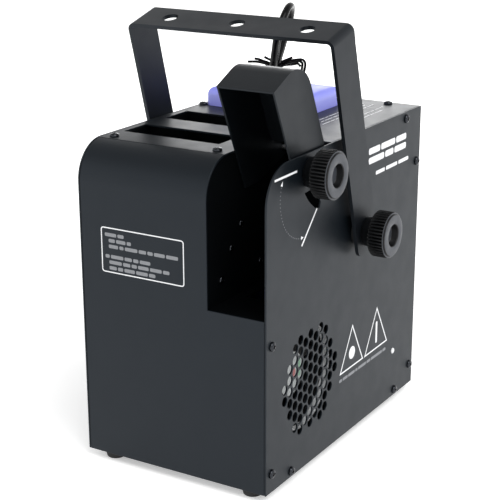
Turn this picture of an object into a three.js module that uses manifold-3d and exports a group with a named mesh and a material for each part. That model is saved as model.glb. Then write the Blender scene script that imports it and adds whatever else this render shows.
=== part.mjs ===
// Compact stage hazer: a sheet-metal box with a swivelling outlet hood in its front right corner, a tilting
// mounting bracket over the top, a fluid tank, a heater, a pump, a fan and a mains lead tied into a hank.
// Millimetres, +Z up, front towards -Y. The origin is on the floor, midway between the bracket's two knobs.

import * as THREE from 'three';
import { mergeVertices } from 'three/addons/utils/BufferGeometryUtils.js';
import Module from 'manifold-3d';

// ---- Driving dimensions ------------------------------------------------------------------------------

// The housing is measured from its own underside, at the middle of its floor.
const WIDTH = 171;
const DEPTH = 267;
const HEIGHT = 260;
const SHEET = 1.5; // steel sheet
const GAP = 0.3; // between pieces that touch
const CORNER_RADIUS = 31; // where the front turns into the top
const SEAM_ANGLE = 8.5; // degrees short of the top where the front panel ends
const FOOT_HEIGHT = 7;
const REAR_PROTRUSION = 10; // the fuse cap is what stands out furthest behind

const HALF_WIDTH = WIDTH / 2;
const FRONT = -DEPTH / 2;
const REAR = DEPTH / 2;
const INNER_X = HALF_WIDTH - SHEET; // inner face of a side panel

// The notch in the front right corner, where the haze comes out.
const NOTCH_LEFT = 33.5;
const NOTCH_FLOOR = 144;
const NOTCH_REAR = -31; // where the top closes again
const LINER_REAR = -8; // back of the lined space, under the top

// The two slots that a hand reaches through, and the bar between them.
const SLOT_LEFT = -78;
const SLOT_RIGHT = 12;
const SLOTS_Y = [[-81, -50], [-22.5, 10.5]];
const RECESS_FLOOR = 212;

// The fluid tank stands in the left rear corner and shows above the top.
const TANK = {
  left: -79.5, right: 21, front: 41, rear: 108, top: 275.5, bottom: 2.5, edge: 6.5, corner: 7,
};
const FILLER = { x: -24, y: 76, radius: 13, wall: 2.5, neck: 7, cap: 10 };

// Screws and feet.
const SCREW_RADIUS = 3.8;
const SIDE_SCREWS = [[-125, 122], [-125, 16], [-94, 5], [96, 5], [127, 19], [127, 212], [103, 254]];
const TOP_SCREWS = [[-74, -99.3], [22.4, -99.3]];
const FOOT_INSET = { x: 19, y: 12 };

// The haze maker, behind the notch: a heated block, its nozzle, and the pump on the floor that feeds it.
const HEATER = { x: [34, 74], y: [2, 104], z: [166, 210], cartridge: 6, shieldAir: 2, shieldWall: 1 };
const NOZZLE = { x: 54, z: 188, radius: 5, shoulder: -24, tip: -31, tipRadius: 2.2, bore: 1.2 };
const PUMP = { x: 50, y: [24, 96], z: 28, radius: 20, outlet: 4, outletRise: 6 };
const AIR_OUTLET = { x: [42, 76], y: [-91, -31] }; // from the fan, through the floor of the notch

// The outlet hood is a square duct, open in front and below, which leans forward.
const HOOD_PIVOT = { y: -20.7, z: 249.5 };
const HOOD_LEAN = 24.5; // degrees
const HOOD = {
  left: 34.3, right: 82.9, front: -62.7, rear: -13.8, top: 98.8, bottom: 5, bend: 26,
  wrapFoot: 16, heel: [-45, -2],
};
const HOOD_EAR = 7.4;
const CLAMP_RADIUS = 49; // from the hood's pivot to its clamp stud
const CLAMP_DROP = 5.2; // degrees below the level of the pivot at rest
const STUD_RADIUS = 3;

// The clamp's arc slot, as [degrees below the level of the pivot, distance from it]: along its outer edge,
// which swells in the middle, and back along its inner edge. It lets the hood swing 36 degrees forward and
// down from rest.
const SLOT_OUTER = [
  [-0.3, 54.2], [7, 54.2], [13.5, 54.6], [16.5, 57.8], [20.8, 58.7], [27, 56.9], [32, 55.3], [37, 53.7],
  [43.5, 52], [49.6, 48.4],
];
const SLOT_INNER = [[47.5, 43.7], [35, 43.7], [23, 43.7], [11, 43.7], [-0.3, 43.7]];

// The three clamp knobs: how far the neck reaches, and the rim on it.
const KNOB = {
  neck: 12.5, radius: 19, foot: 10.3, length: 24.6, recess: 9, recessDepth: 6, boreDepth: 12.5,
};

// The mounting bracket is a U of flat steel.
const BRACKET_PIVOT = { y: 13.5, z: 178 };
const BRACKET_TILT = 15.8; // degrees forward at rest
const BRACKET = {
  halfSpan: 94, reach: 174.6, width: 34, thickness: 3, bend: 6,
  toe: 17.5, toeRadius: 8, // below the pivot, the arms end in rounded corners
};
const BRACKET_HOLES_X = [-63, 0, 63];
const BRACKET_HOLE_RADIUS = 6.5;
const BRACKET_STUD_RADIUS = STUD_RADIUS + 1;

// The fan stands on four corner posts behind its grille in the right side panel.
const FAN = { y: -63.5, z: 74, size: 92, depth: 38, bore: 43.5, setBack: 5, post: 4.5 };
const ROTOR = { hub: 20, length: 21.3, from: 6, tip: 40.5, blades: 7, chord: 26, pitch: 38 };
const GRILLE = { radius: 46, pitch: 9.6, hole: 4 };

// Everything on the back panel: its centre, and the size of the hole that it sits in.
const DISPLAY = { x: 15, z: 222, width: 62, height: 24 };
const BUTTONS = { z: 193, xs: [-12, 6, 24, 42], width: 9, height: 6 };
const SOCKETS = { z: 142, xs: [-10, 38], radius: 11, poles: 4.5 };
const SWITCH = { x: -12, z: 88, width: 19, height: 27, tilt: 9 }; // the rocker rests 9 degrees over
const FUSE = { x: 24, z: 88, radius: 6.5 };
const GLAND = { x: 50, z: 45, length: 24, radius: 8 };

// The control board stands behind them: the board first, then its taller parts.
const BOARD_PARTS = [
  { x: [-34, 48], y: [117.4, 119], z: [158, 240] },
  { x: [-22, 4], y: [112, 118], z: [166, 180] },
  { x: [26, 44], y: [109, 118], z: [214, 232] },
  { x: [28, 42], y: [111, 118], z: [164, 178] },
];

// The mains lead is tied into a hank of two turns. It stands on its end and bends to the right as it rises.
const CORD_DIAMETER = 6.8;
const HANK = {
  x: -92.5, y: 160, bottom: 0.2, height: 343, halfWidth: 30.4, halfDepth: CORD_DIAMETER / 2, turned: -71,
  waist: 13.8, waistZ: 276, waistSpread: 25, leanFrom: 170, lean: 0.00097,
};
const TIE = { clear: [2.4, 1.8], wall: 1.2, halfHeight: 3 };
const PLUG = { x: -30, y: 192.5, z: 19 };

// ---- Materials ---------------------------------------------------------------------------------------

const finish = (color, roughness, metalness) =>
  new THREE.MeshStandardMaterial({ color, roughness, metalness });

const blackPaint = finish(0x2b2f33, 0.5, 0.2);
const blackPlastic = finish(0x1c1d1f, 0.55, 0);
const knobPlastic = finish(0x34363a, 0.6, 0);
const blackRubber = finish(0x141415, 0.85, 0);
const brightSteel = finish(0xb4b6b8, 0.3, 1);
const castAluminium = finish(0x9a9da0, 0.5, 1);
const brass = finish(0xb08d45, 0.35, 1);
const lilacTank = finish(0x9c9cf2, 0.3, 0);
const greenBoard = finish(0x1f5a35, 0.6, 0);
const darkGlass = finish(0x0d1b2a, 0.1, 0);
const clearHose = finish(0xd6dad8, 0.3, 0);

// ---- Solids: closed geometry, joined and cut by manifold ---------------------------------------------

const wasm = await Module();
wasm.setup();

function solid(geometry) {
  const bare = geometry.clone();
  bare.deleteAttribute('normal');
  bare.deleteAttribute('uv');
  const merged = mergeVertices(bare, 1e-4);
  return new wasm.Manifold(new wasm.Mesh({
    numProp: 3,
    vertProperties: new Float32Array(merged.attributes.position.array),
    triVerts: new Uint32Array(merged.index.array),
  }));
}

function geometryOf(manifold) {
  const { vertProperties, triVerts } = manifold.getMesh();
  const geometry = new THREE.BufferGeometry();
  geometry.setAttribute('position', new THREE.BufferAttribute(new Float32Array(vertProperties), 3));
  geometry.setIndex(new THREE.BufferAttribute(new Uint32Array(triVerts), 1));
  geometry.computeVertexNormals();
  return geometry;
}

const join = (...pieces) =>
  geometryOf(pieces.map(solid).reduce((whole, piece) => whole.add(piece)));

const cut = (body, ...tools) =>
  geometryOf(tools.map(solid).reduce((rest, tool) => rest.subtract(tool), solid(body)));

const overlap = (a, b) => geometryOf(solid(a).intersect(solid(b)));

// ---- Plain forms -------------------------------------------------------------------------------------

const radians = THREE.MathUtils.degToRad;

function box([x0, x1], [y0, y1], [z0, z1]) {
  return new THREE.BoxGeometry(x1 - x0, y1 - y0, z1 - z0)
    .translate((x0 + x1) / 2, (y0 + y1) / 2, (z0 + z1) / 2);
}

function polygon(points) {
  return new THREE.Shape(points.map(([u, v]) => new THREE.Vector2(u, v)));
}

function roundedRectangle([u0, u1], [v0, v1], radius) {
  const shape = new THREE.Shape();
  shape.moveTo(u0 + radius, v0);
  shape.absarc(u1 - radius, v0 + radius, radius, -Math.PI / 2, 0);
  shape.absarc(u1 - radius, v1 - radius, radius, 0, Math.PI / 2);
  shape.absarc(u0 + radius, v1 - radius, radius, Math.PI / 2, Math.PI);
  shape.absarc(u0 + radius, v0 + radius, radius, Math.PI, 1.5 * Math.PI);
  return shape;
}

// A shape in (y, z), as thick as from x0 to x1.
function plateX(shape, x0, x1, curveSegments = 6) {
  const turn = new THREE.Matrix4().makeBasis(
    new THREE.Vector3(0, 1, 0), new THREE.Vector3(0, 0, 1), new THREE.Vector3(1, 0, 0));
  return new THREE.ExtrudeGeometry(shape, { depth: x1 - x0, bevelEnabled: false, curveSegments })
    .applyMatrix4(turn)
    .translate(x0, 0, 0);
}

// A shape in (x, z), as thick as from y0 to y1.
function plateY(shape, y0, y1, curveSegments = 6) {
  return new THREE.ExtrudeGeometry(shape, { depth: y1 - y0, bevelEnabled: false, curveSegments })
    .rotateX(Math.PI / 2)
    .translate(0, y1, 0);
}

// A shape in (x, y), as thick as from z0 to z1.
function plateZ(shape, z0, z1, curveSegments = 6) {
  return new THREE.ExtrudeGeometry(shape, { depth: z1 - z0, bevelEnabled: false, curveSegments })
    .translate(0, 0, z0);
}

// Turned pieces: the profile is a list of [radius, distance along the axis], from axis to axis.
function turnedZ(profile, sides) {
  return new THREE.LatheGeometry(profile.map(([r, z]) => new THREE.Vector2(r, z)), sides)
    .rotateX(Math.PI / 2);
}

const turnedX = (profile, sides) => turnedZ(profile, sides).rotateY(Math.PI / 2);
const turnedY = (profile, sides) => turnedZ(profile, sides).rotateX(-Math.PI / 2);

const rod = (radius, from, to) => [[0, from], [radius, from], [radius, to], [0, to]];

// A round section carried along a smooth line through points.
function tube(points, radius, sides, steps) {
  const section = polygon(Array.from({ length: sides }, (_, i) => {
    const angle = 2 * Math.PI * i / sides;
    return [radius * Math.cos(angle), radius * Math.sin(angle)];
  }));
  const extrudePath = new THREE.CatmullRomCurve3(points.map((p) => new THREE.Vector3(...p)));
  return new THREE.ExtrudeGeometry(section, { steps, extrudePath, bevelEnabled: false });
}

function piece(name, geometry, material, [x, y, z] = [0, 0, 0]) {
  const mesh = new THREE.Mesh(geometry, material);
  mesh.name = name;
  mesh.position.set(x, y, z);
  return mesh;
}

// ---- Housing -----------------------------------------------------------------------------------------

// The side view of the housing, set in all round by inset.
function sideOutline(inset) {
  const shape = new THREE.Shape();
  const radius = CORNER_RADIUS - inset;
  shape.moveTo(FRONT + inset, inset);
  shape.lineTo(REAR - inset, inset);
  shape.lineTo(REAR - inset, HEIGHT - inset);
  shape.absarc(FRONT + CORNER_RADIUS, HEIGHT - CORNER_RADIUS, radius, Math.PI / 2, Math.PI);
  return shape;
}

// A bent sheet that follows the rounded corner between two angles, with straight ends if given.
function cornerStrip(fromAngle, toAngle, before = [], after = []) {
  const steps = Math.max(1, Math.round((fromAngle - toAngle) / 9));
  const arc = (radius) => Array.from({ length: steps + 1 }, (_, i) => {
    const angle = radians(fromAngle + (toAngle - fromAngle) * i / steps);
    return [
      FRONT + CORNER_RADIUS + radius * Math.cos(angle),
      HEIGHT - CORNER_RADIUS + radius * Math.sin(angle),
    ];
  });
  const outer = [...before.map((p) => p.outer), ...arc(CORNER_RADIUS), ...after.map((p) => p.outer)];
  const inner = [
    ...before.map((p) => p.inner), ...arc(CORNER_RADIUS - SHEET), ...after.map((p) => p.inner)];
  return polygon([...outer, ...inner.reverse()]);
}

function baseTray() {
  const halfX = INNER_X - GAP;
  const halfY = REAR - SHEET - GAP;
  const lip = 12;
  return cut(
    box([-halfX, halfX], [-halfY, halfY], [0, lip]),
    box([-halfX + SHEET, halfX - SHEET], [-halfY + SHEET, halfY - SHEET], [SHEET, lip + 1]));
}

function frontPanel() {
  const foot = { outer: [FRONT, 0], inner: [FRONT + SHEET, 0] };
  const strip = cornerStrip(180, 90 + SEAM_ANGLE, [foot]);
  const notch = box([NOTCH_LEFT, WIDTH], [FRONT - 1, 0], [NOTCH_FLOOR, HEIGHT + 1]);
  return cut(plateX(strip, -INNER_X + GAP, INNER_X - GAP), notch);
}

function topPlate() {
  const back = { outer: [REAR, HEIGHT], inner: [REAR, HEIGHT - SHEET] };
  const strip = cornerStrip(90 + SEAM_ANGLE - 0.6, 90, [], [back]);
  const through = [HEIGHT - 9, HEIGHT + 1];
  const slots = SLOTS_Y.map((y) => box([SLOT_LEFT, SLOT_RIGHT], y, through));
  const tankHole = plateZ(
    roundedRectangle([TANK.left - 1, TANK.right + 1], [TANK.front - 1, TANK.rear + 1], TANK.corner + 1),
    ...through, 4);
  const notch = box([NOTCH_LEFT, WIDTH], [FRONT - 1, NOTCH_REAR], through);
  return cut(plateX(strip, -INNER_X + GAP, INNER_X - GAP), notch, tankHole, ...slots);
}

// The arc slot that the hood's clamp stud slides in.
function clampSlot() {
  const outline = [...SLOT_OUTER, ...SLOT_INNER].map(([drop, distance]) => [
    HOOD_PIVOT.y - distance * Math.cos(radians(drop)),
    HOOD_PIVOT.z - distance * Math.sin(radians(drop)),
  ]);
  return plateX(polygon(outline), INNER_X - 1, HALF_WIDTH + 1);
}

// Round-cornered holes on a triangular lattice, inside the grille's circle.
function grilleHoles() {
  const columnStep = GRILLE.pitch * Math.sqrt(3) / 2;
  const columns = Math.floor(GRILLE.radius / columnStep);
  const rows = Math.floor(GRILLE.radius / GRILLE.pitch) + 1;
  const holes = [];
  for (let column = -columns; column <= columns; column += 1) {
    for (let row = -rows; row <= rows; row += 1) {
      const y = column * columnStep;
      const z = (row + (column % 2 ? 0.5 : 0)) * GRILLE.pitch;
      if (Math.hypot(y, z) + GRILLE.hole < GRILLE.radius + 1) {
        holes.push(turnedX(rod(GRILLE.hole, INNER_X - 1, HALF_WIDTH + 1), 6)
          .translate(0, FAN.y + y, FAN.z + z));
      }
    }
  }
  return holes;
}

// The hole for the bracket's stud, through both side panels.
const pivotHole = () =>
  turnedX(rod(BRACKET_STUD_RADIUS + GAP, -HALF_WIDTH - 1, HALF_WIDTH + 1), 12)
    .translate(0, BRACKET_PIVOT.y, BRACKET_PIVOT.z);

const leftSidePanel = () => cut(plateX(sideOutline(0), -HALF_WIDTH, -INNER_X, 10), pivotHole());

const rightSidePanel = () =>
  cut(plateX(sideOutline(0), INNER_X, HALF_WIDTH, 10), pivotHole(), clampSlot(), ...grilleHoles());

function backPanel() {
  const y0 = REAR - SHEET;
  const depth = [y0 - 1, REAR + 1];
  const window = ({ x, z, width, height }) =>
    box([x - width / 2, x + width / 2], depth, [z - height / 2, z + height / 2]);
  const bore = (x, z, radius) => turnedY(rod(radius, ...depth), 16).translate(x, 0, z);
  return cut(
    box([-INNER_X + GAP, INNER_X - GAP], [y0, REAR], [0, HEIGHT - SHEET - GAP]),
    window(DISPLAY),
    window(SWITCH),
    ...BUTTONS.xs.map((x) => window({ ...BUTTONS, x })),
    ...SOCKETS.xs.map((x) => bore(x, SOCKETS.z, SOCKETS.radius)),
    bore(FUSE.x, FUSE.z, FUSE.radius),
    bore(GLAND.x, GLAND.z, GLAND.radius));
}

// Sheet that lines the notch: a left wall, a floor with the fan's air outlet in it, and a rear wall.
function outletDuctLiner() {
  const right = INNER_X - GAP;
  const left = NOTCH_LEFT - GAP;
  const floor = NOTCH_FLOOR - GAP;
  const zone = box([0, WIDTH], [FRONT, LINER_REAR], [floor - SHEET, HEIGHT - SHEET - GAP]);
  const shell = overlap(plateX(sideOutline(SHEET + GAP), left - SHEET, right, 10), zone);
  const room = box([left, WIDTH], [FRONT - 1, LINER_REAR - SHEET], [floor, HEIGHT]);
  const airOutlet = box(AIR_OUTLET.x, AIR_OUTLET.y, [floor - SHEET - 1, floor + 1]);
  const nozzleHole = turnedY(rod(NOZZLE.radius + 1, LINER_REAR - SHEET - 1, LINER_REAR + 1), 12)
    .translate(NOZZLE.x, 0, NOZZLE.z);
  return cut(shell, room, airOutlet, nozzleHole);
}

// Open-topped tray under the two slots, so that a hand meets no inner parts.
function gripRecess() {
  const margin = 1.5;
  const wall = 1.2;
  const x = [SLOT_LEFT - margin, SLOT_RIGHT + margin];
  const y = [SLOTS_Y[0][0] - margin, SLOTS_Y[1][1] + margin];
  const outer = box(x, y, [RECESS_FLOOR, HEIGHT - SHEET - GAP]);
  const inner = box(
    [x[0] + wall, x[1] - wall], [y[0] + wall, y[1] - wall], [RECESS_FLOOR + wall, HEIGHT]);
  return cut(outer, inner);
}

function foot() {
  const profile = [
    [0, -FOOT_HEIGHT], [7, -FOOT_HEIGHT], [8, -FOOT_HEIGHT + 1.2], [9, -GAP], [0, -GAP]];
  return turnedZ(profile, 14);
}

function feet() {
  const x = HALF_WIDTH - FOOT_INSET.x;
  const y = REAR - FOOT_INSET.y;
  return [
    piece('foot_front_left', foot(), blackRubber, [-x, -y, 0]),
    piece('foot_front_right', foot(), blackRubber, [x, -y, 0]),
    piece('foot_rear_left', foot(), blackRubber, [-x, y, 0]),
    piece('foot_rear_right', foot(), blackRubber, [x, y, 0]),
  ];
}

// Pan-head screws: only the heads show.
const screwHead = () => [
  [0, GAP], [SCREW_RADIUS, GAP], [SCREW_RADIUS, 1.1], [2.6, 2], [0, 2.3]];

const screws = () => [
  ...SIDE_SCREWS.map(([y, z], i) =>
    piece(`side_screw_${i + 1}`, turnedX(screwHead(), 10), brightSteel, [HALF_WIDTH, y, z])),
  ...TOP_SCREWS.map(([x, y], i) =>
    piece(`top_screw_${i + 1}`, turnedZ(screwHead(), 10), brightSteel, [x, y, HEIGHT])),
];

// ---- Haze maker --------------------------------------------------------------------------------------

// A cast block with flat sides and a bore for its heating rod from end to end.
function heaterBlock() {
  const [y0, y1] = HEATER.y;
  const cartridge = turnedY(rod(HEATER.cartridge, y0 - 1, y1 + 1), 12)
    .translate(NOZZLE.x, 0, HEATER.z[1] - 10);
  return cut(box(HEATER.x, HEATER.y, HEATER.z), cartridge);
}

// A sleeve round the heater, open at its front and rear.
function heatShield() {
  const { shieldWall: wall, shieldAir: air } = HEATER;
  const grow = ([a, b], by) => [a - by, b + by];
  return cut(
    box(grow(HEATER.x, air + wall), grow(HEATER.y, -2), grow(HEATER.z, air + wall)),
    box(grow(HEATER.x, air), grow(HEATER.y, 5), grow(HEATER.z, air)));
}

function hazeNozzle() {
  const { x, z, radius, shoulder, tip, tipRadius, bore } = NOZZLE;
  const back = HEATER.y[0] - GAP;
  const boreEnd = tip + 11;
  const profile = [
    [0, boreEnd], [bore, boreEnd], [bore, tip], [tipRadius, tip], [radius, shoulder], [radius, back],
    [0, back]];
  return turnedY(profile, 14).translate(x, 0, z);
}

function fluidPump() {
  const [y0, y1] = PUMP.y;
  const base = SHEET + GAP;
  const barrel = turnedY(rod(PUMP.radius, y0, y1), 18).translate(PUMP.x, 0, PUMP.z);
  const cradle = box([PUMP.x - 18, PUMP.x + 18], [y0 + 12, y1 - 12], [base, PUMP.z]);
  const outlet = turnedZ(rod(PUMP.outlet, PUMP.z, PUMP.z + PUMP.radius + PUMP.outletRise), 10)
    .translate(PUMP.x, (y0 + y1) / 2, 0);
  return join(barrel, cradle, outlet);
}

// Tank outlet to pump, clear hose.
function suctionHose() {
  const y = (TANK.front + TANK.rear) / 2;
  const start = TANK.right + GAP;
  const end = PUMP.x - PUMP.radius - 2 * GAP;
  return turnedX(rod(3.5, start, end), 10).translate(0, y, PUMP.z);
}

// Pump to heater, bent brass pipe.
function feedPipe() {
  const y = (PUMP.y[0] + PUMP.y[1]) / 2;
  const heaterRear = HEATER.y[1] + GAP;
  const top = PUMP.z + PUMP.radius + PUMP.outletRise + GAP;
  return tube([
    [PUMP.x, y, top], [PUMP.x, y, top + 20], [PUMP.x + 1, y + 12, top + 44], [PUMP.x + 4, y + 42, top + 74],
    [NOZZLE.x, heaterRear + 17, top + 104], [NOZZLE.x, heaterRear + 14, NOZZLE.z - 3],
    [NOZZLE.x, heaterRear + 8, NOZZLE.z], [NOZZLE.x, heaterRear + GAP, NOZZLE.z],
  ], 2.5, 8, 22);
}

function fluidTank() {
  const { left, right, front, rear, top, bottom, edge, corner } = TANK;
  const body = new THREE.ExtrudeGeometry(
    roundedRectangle([left + edge, right - edge], [front + edge, rear - edge], corner - edge),
    {
      depth: top - bottom - 2 * edge,
      bevelThickness: edge,
      bevelSize: edge,
      bevelSegments: 3,
      curveSegments: 3,
    }).translate(0, 0, bottom + edge);
  const neck = turnedZ(rod(FILLER.radius - FILLER.wall, top - 2, top + FILLER.neck), 16)
    .translate(FILLER.x, FILLER.y, 0);
  return join(body, neck);
}

// Cup over the filler neck.
function tankCap() {
  const inside = FILLER.radius - FILLER.wall + GAP;
  const foot = TANK.top + GAP;
  const roof = TANK.top + FILLER.neck + GAP;
  const top = TANK.top + FILLER.cap;
  const profile = [
    [0, roof], [inside, roof], [inside, foot], [FILLER.radius, foot], [FILLER.radius, top - 1],
    [FILLER.radius - 1, top], [0, top]];
  return turnedZ(profile, 20);
}

// ---- Fan ---------------------------------------------------------------------------------------------

const FAN_OUTER_X = INNER_X - GAP - FAN.setBack;

function fanFrame() {
  const half = FAN.size / 2;
  const [x0, x1] = [FAN_OUTER_X - FAN.depth, FAN_OUTER_X];
  const block = plateX(roundedRectangle([-half, half], [-half, half], 5), x0, x1, 3);
  const bore = turnedX(rod(FAN.bore, x0 - 1, x1 + 1), 28);
  const hub = turnedX(rod(16, x0, x0 + 5), 16);
  const strut = box([x0, x0 + 3], [-2.5, 2.5], [-half + 1, half - 1]);
  const crossStrut = strut.clone().rotateX(Math.PI / 2);
  const post = half - FAN.post - 0.5;
  const posts = [[-post, -post], [-post, post], [post, -post], [post, post]].map(([y, z]) =>
    turnedX(rod(FAN.post, x1 - 3, x1 + FAN.setBack), 12).translate(0, y, z));
  const ring = solid(block).subtract(solid(bore));
  const added = [hub, strut, crossStrut, ...posts];
  return geometryOf(added.reduce((frame, part) => frame.add(solid(part)), ring));
}

// Pitched blades on a hub; the axis is X and the hub's inner end is at x = 0.
function fanRotor() {
  const hub = turnedX(rod(ROTOR.hub, 0, ROTOR.length), 18);
  const parts = [hub];
  for (let i = 0; i < ROTOR.blades; i += 1) {
    parts.push(box([-1, 1], [-ROTOR.chord / 2, ROTOR.chord / 2], [ROTOR.hub - 3, ROTOR.tip])
      .rotateZ(radians(ROTOR.pitch))
      .translate(ROTOR.length / 2, 0, 0)
      .rotateX(2 * Math.PI * i / ROTOR.blades));
  }
  return join(...parts);
}

// ---- Hood --------------------------------------------------------------------------------------------

// The hood's own frame: its pivot is at 0, u runs to the rear and v up the duct.
function hoodCheek() {
  const { front, rear, top, bottom, bend, wrapFoot, heel } = HOOD;
  const upright = Math.PI / 2 - radians(HOOD_LEAN);
  const shape = new THREE.Shape();
  shape.moveTo(front, bottom);
  shape.lineTo(...heel);
  shape.absarc(0, 0, HOOD_EAR, upright - Math.PI, upright);
  shape.lineTo(rear, wrapFoot - 2);
  shape.absarc(rear - bend, top - bend, bend, 0, Math.PI / 2);
  shape.lineTo(front, top);
  return shape;
}

// The bent sheet over the duct's back and top.
function hoodWrap() {
  const { front, rear, top, bend, wrapFoot } = HOOD;
  const shape = new THREE.Shape();
  shape.moveTo(rear, wrapFoot);
  shape.absarc(rear - bend, top - bend, bend, 0, Math.PI / 2);
  shape.lineTo(front, top);
  shape.lineTo(front, top - SHEET);
  shape.absarc(rear - bend, top - bend, bend - SHEET, Math.PI / 2, 0, true);
  shape.lineTo(rear - SHEET, wrapFoot);
  return shape;
}

// Where the clamp stud crosses the cheek, in the hood's own frame.
const CLAMP_U = -CLAMP_RADIUS * Math.cos(radians(HOOD_LEAN - CLAMP_DROP));
const CLAMP_V = CLAMP_RADIUS * Math.sin(radians(HOOD_LEAN - CLAMP_DROP));

// And the same point at rest, from the pivot in the housing's frame.
const CLAMP_Y = -CLAMP_RADIUS * Math.cos(radians(CLAMP_DROP));
const CLAMP_Z = -CLAMP_RADIUS * Math.sin(radians(CLAMP_DROP));

function outletHood() {
  const { left, right } = HOOD;
  const across = [left - 1, right + 1];
  const pinHole = turnedX(rod(STUD_RADIUS + GAP, ...across), 12);
  const studHole = turnedX(rod(STUD_RADIUS + GAP, right - 4, right + 1), 12).translate(0, CLAMP_U, CLAMP_V);
  const duct = join(
    plateX(hoodCheek(), left, left + SHEET),
    plateX(hoodCheek(), right - SHEET, right),
    plateX(hoodWrap(), left, right));
  return cut(duct, pinHole, studHole);
}

function hoodClampStud() {
  const inside = HOOD.right - SHEET - GAP;
  const end = HALF_WIDTH + 11;
  return turnedX(
    [[0, inside - 4], [6, inside - 4], [6, inside], [STUD_RADIUS, inside], [STUD_RADIUS, end], [0, end]], 12);
}

// ---- Knobs and bracket -------------------------------------------------------------------------------

// A clamping knob with a narrow neck, a wide rim and a round recess in its face. The axis is X.
function clampKnob(studRadius) {
  const { neck, radius, foot, length, recess, recessDepth, boreDepth } = KNOB;
  const bore = studRadius + GAP;
  return turnedX([
    [0, boreDepth], [bore, boreDepth], [bore, GAP], [neck - 1, GAP], [neck, foot], [radius - 1.5, foot],
    [radius, foot + 1.5], [radius, length - 1.5], [radius - 1.4, length], [recess, length],
    [recess, length - recessDepth], [0, length - recessDepth],
  ], 20);
}

// The bracket's own frame: its pivot axis is X through 0, and its arms run up.
function mountingBracket() {
  const { halfSpan, reach, width, thickness, bend, toe, toeRadius } = BRACKET;
  const uOutline = (half, top, radius) => {
    const shape = new THREE.Shape();
    shape.moveTo(-half, -width);
    shape.lineTo(half, -width);
    shape.absarc(half - radius, top - radius, radius, 0, Math.PI / 2);
    shape.absarc(-half + radius, top - radius, radius, Math.PI / 2, Math.PI);
    return shape;
  };
  const strap = cut(
    plateY(uOutline(halfSpan, reach, bend), -width / 2, width / 2),
    plateY(uOutline(halfSpan - thickness, reach - thickness, bend - thickness), -width, width));
  const armOutline = roundedRectangle([-width / 2, width / 2], [-toe, reach + 20], toeRadius);
  const trimmed = overlap(strap, plateX(armOutline, -halfSpan - 1, halfSpan + 1, 10));
  const pivots = turnedX(rod(BRACKET_STUD_RADIUS + GAP, -halfSpan - 1, halfSpan + 1), 12);
  const holes = BRACKET_HOLES_X.map((x) =>
    turnedZ(rod(BRACKET_HOLE_RADIUS, reach - 9, reach + 1), 20).translate(x, 0, 0));
  return cut(trimmed, pivots, ...holes);
}

const bracketSpacer = () => turnedX([
  [BRACKET_STUD_RADIUS + GAP, HALF_WIDTH + GAP], [12, HALF_WIDTH + GAP],
  [12, BRACKET.halfSpan - BRACKET.thickness - GAP],
  [BRACKET_STUD_RADIUS + GAP, BRACKET.halfSpan - BRACKET.thickness - GAP],
  [BRACKET_STUD_RADIUS + GAP, HALF_WIDTH + GAP],
], 16);

const bracketStud = () => {
  const inner = INNER_X - GAP;
  return turnedX([
    [0, inner - 4], [8, inner - 4], [8, inner], [BRACKET_STUD_RADIUS, inner],
    [BRACKET_STUD_RADIUS, BRACKET.halfSpan + 11], [0, BRACKET.halfSpan + 11]], 12);
};

function bracketFittings() {
  const { y, z } = BRACKET_PIVOT;
  const sides = [['left', -1], ['right', 1]];
  return sides.flatMap(([name, side]) => {
    const mirror = (geometry) => (side < 0 ? geometry.rotateZ(Math.PI) : geometry);
    return [
      piece(`bracket_spacer_${name}`, mirror(bracketSpacer()), blackRubber, [0, y, z]),
      piece(`bracket_stud_${name}`, mirror(bracketStud()), brightSteel, [0, y, z]),
      piece(`bracket_knob_${name}`, mirror(clampKnob(BRACKET_STUD_RADIUS)), knobPlastic,
        [side * BRACKET.halfSpan, y, z]),
    ];
  });
}

// ---- Controls and sockets on the back panel ----------------------------------------------------------

function displayWindow() {
  const { x, z, width, height } = DISPLAY;
  const half = (size) => size / 2 - GAP;
  return box(
    [x - half(width), x + half(width)], [REAR - 4, REAR + 0.8], [z - half(height), z + half(height)]);
}

function menuButtons() {
  const { z, xs, width, height } = BUTTONS;
  const cap = () => box(
    [-width / 2 + GAP, width / 2 - GAP], [-5, 1.6], [-height / 2 + GAP, height / 2 - GAP]);
  return xs.map((x, i) => piece(`menu_button_${i + 1}`, cap(), knobPlastic, [x, REAR, z]));
}

// Round three-pole sockets: one with holes, one with pins.
function dmxSocket(withPins) {
  const body = turnedY(rod(SOCKETS.radius - GAP, -18, 1), 20);
  const flange = plateY(roundedRectangle([-13, 13], [-15.5, 15.5], 2), GAP, 2.2, 2);
  const well = turnedY(rod(9, -11, 3), 18);
  const poles = [90, 210, 330].map((angle) => {
    const [x, z] = [SOCKETS.poles * Math.cos(radians(angle)), SOCKETS.poles * Math.sin(radians(angle))];
    return withPins
      ? turnedY(rod(1.2, -14, 0), 8).translate(x, 0, z)
      : turnedY(rod(1.4, -9, 4), 8).translate(x, 0, z);
  });
  if (withPins) {
    return join(cut(join(body, flange), well), ...poles);
  }
  const core = turnedY(rod(7, -14, 1), 16);
  return cut(join(cut(join(body, flange), well), core), ...poles);
}

function powerSwitchFrame() {
  const { width, height } = SWITCH;
  const bezel = box([-width / 2 - 2, width / 2 + 2], [GAP, 2], [-height / 2 - 2, height / 2 + 2]);
  const body = box(
    [-width / 2 + GAP, width / 2 - GAP], [-20, 1], [-height / 2 + GAP, height / 2 - GAP]);
  const well = box([-width / 2 + 2, width / 2 - 2], [-14, 3], [-height / 2 + 2, height / 2 - 2]);
  return cut(join(bezel, body), well);
}

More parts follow.
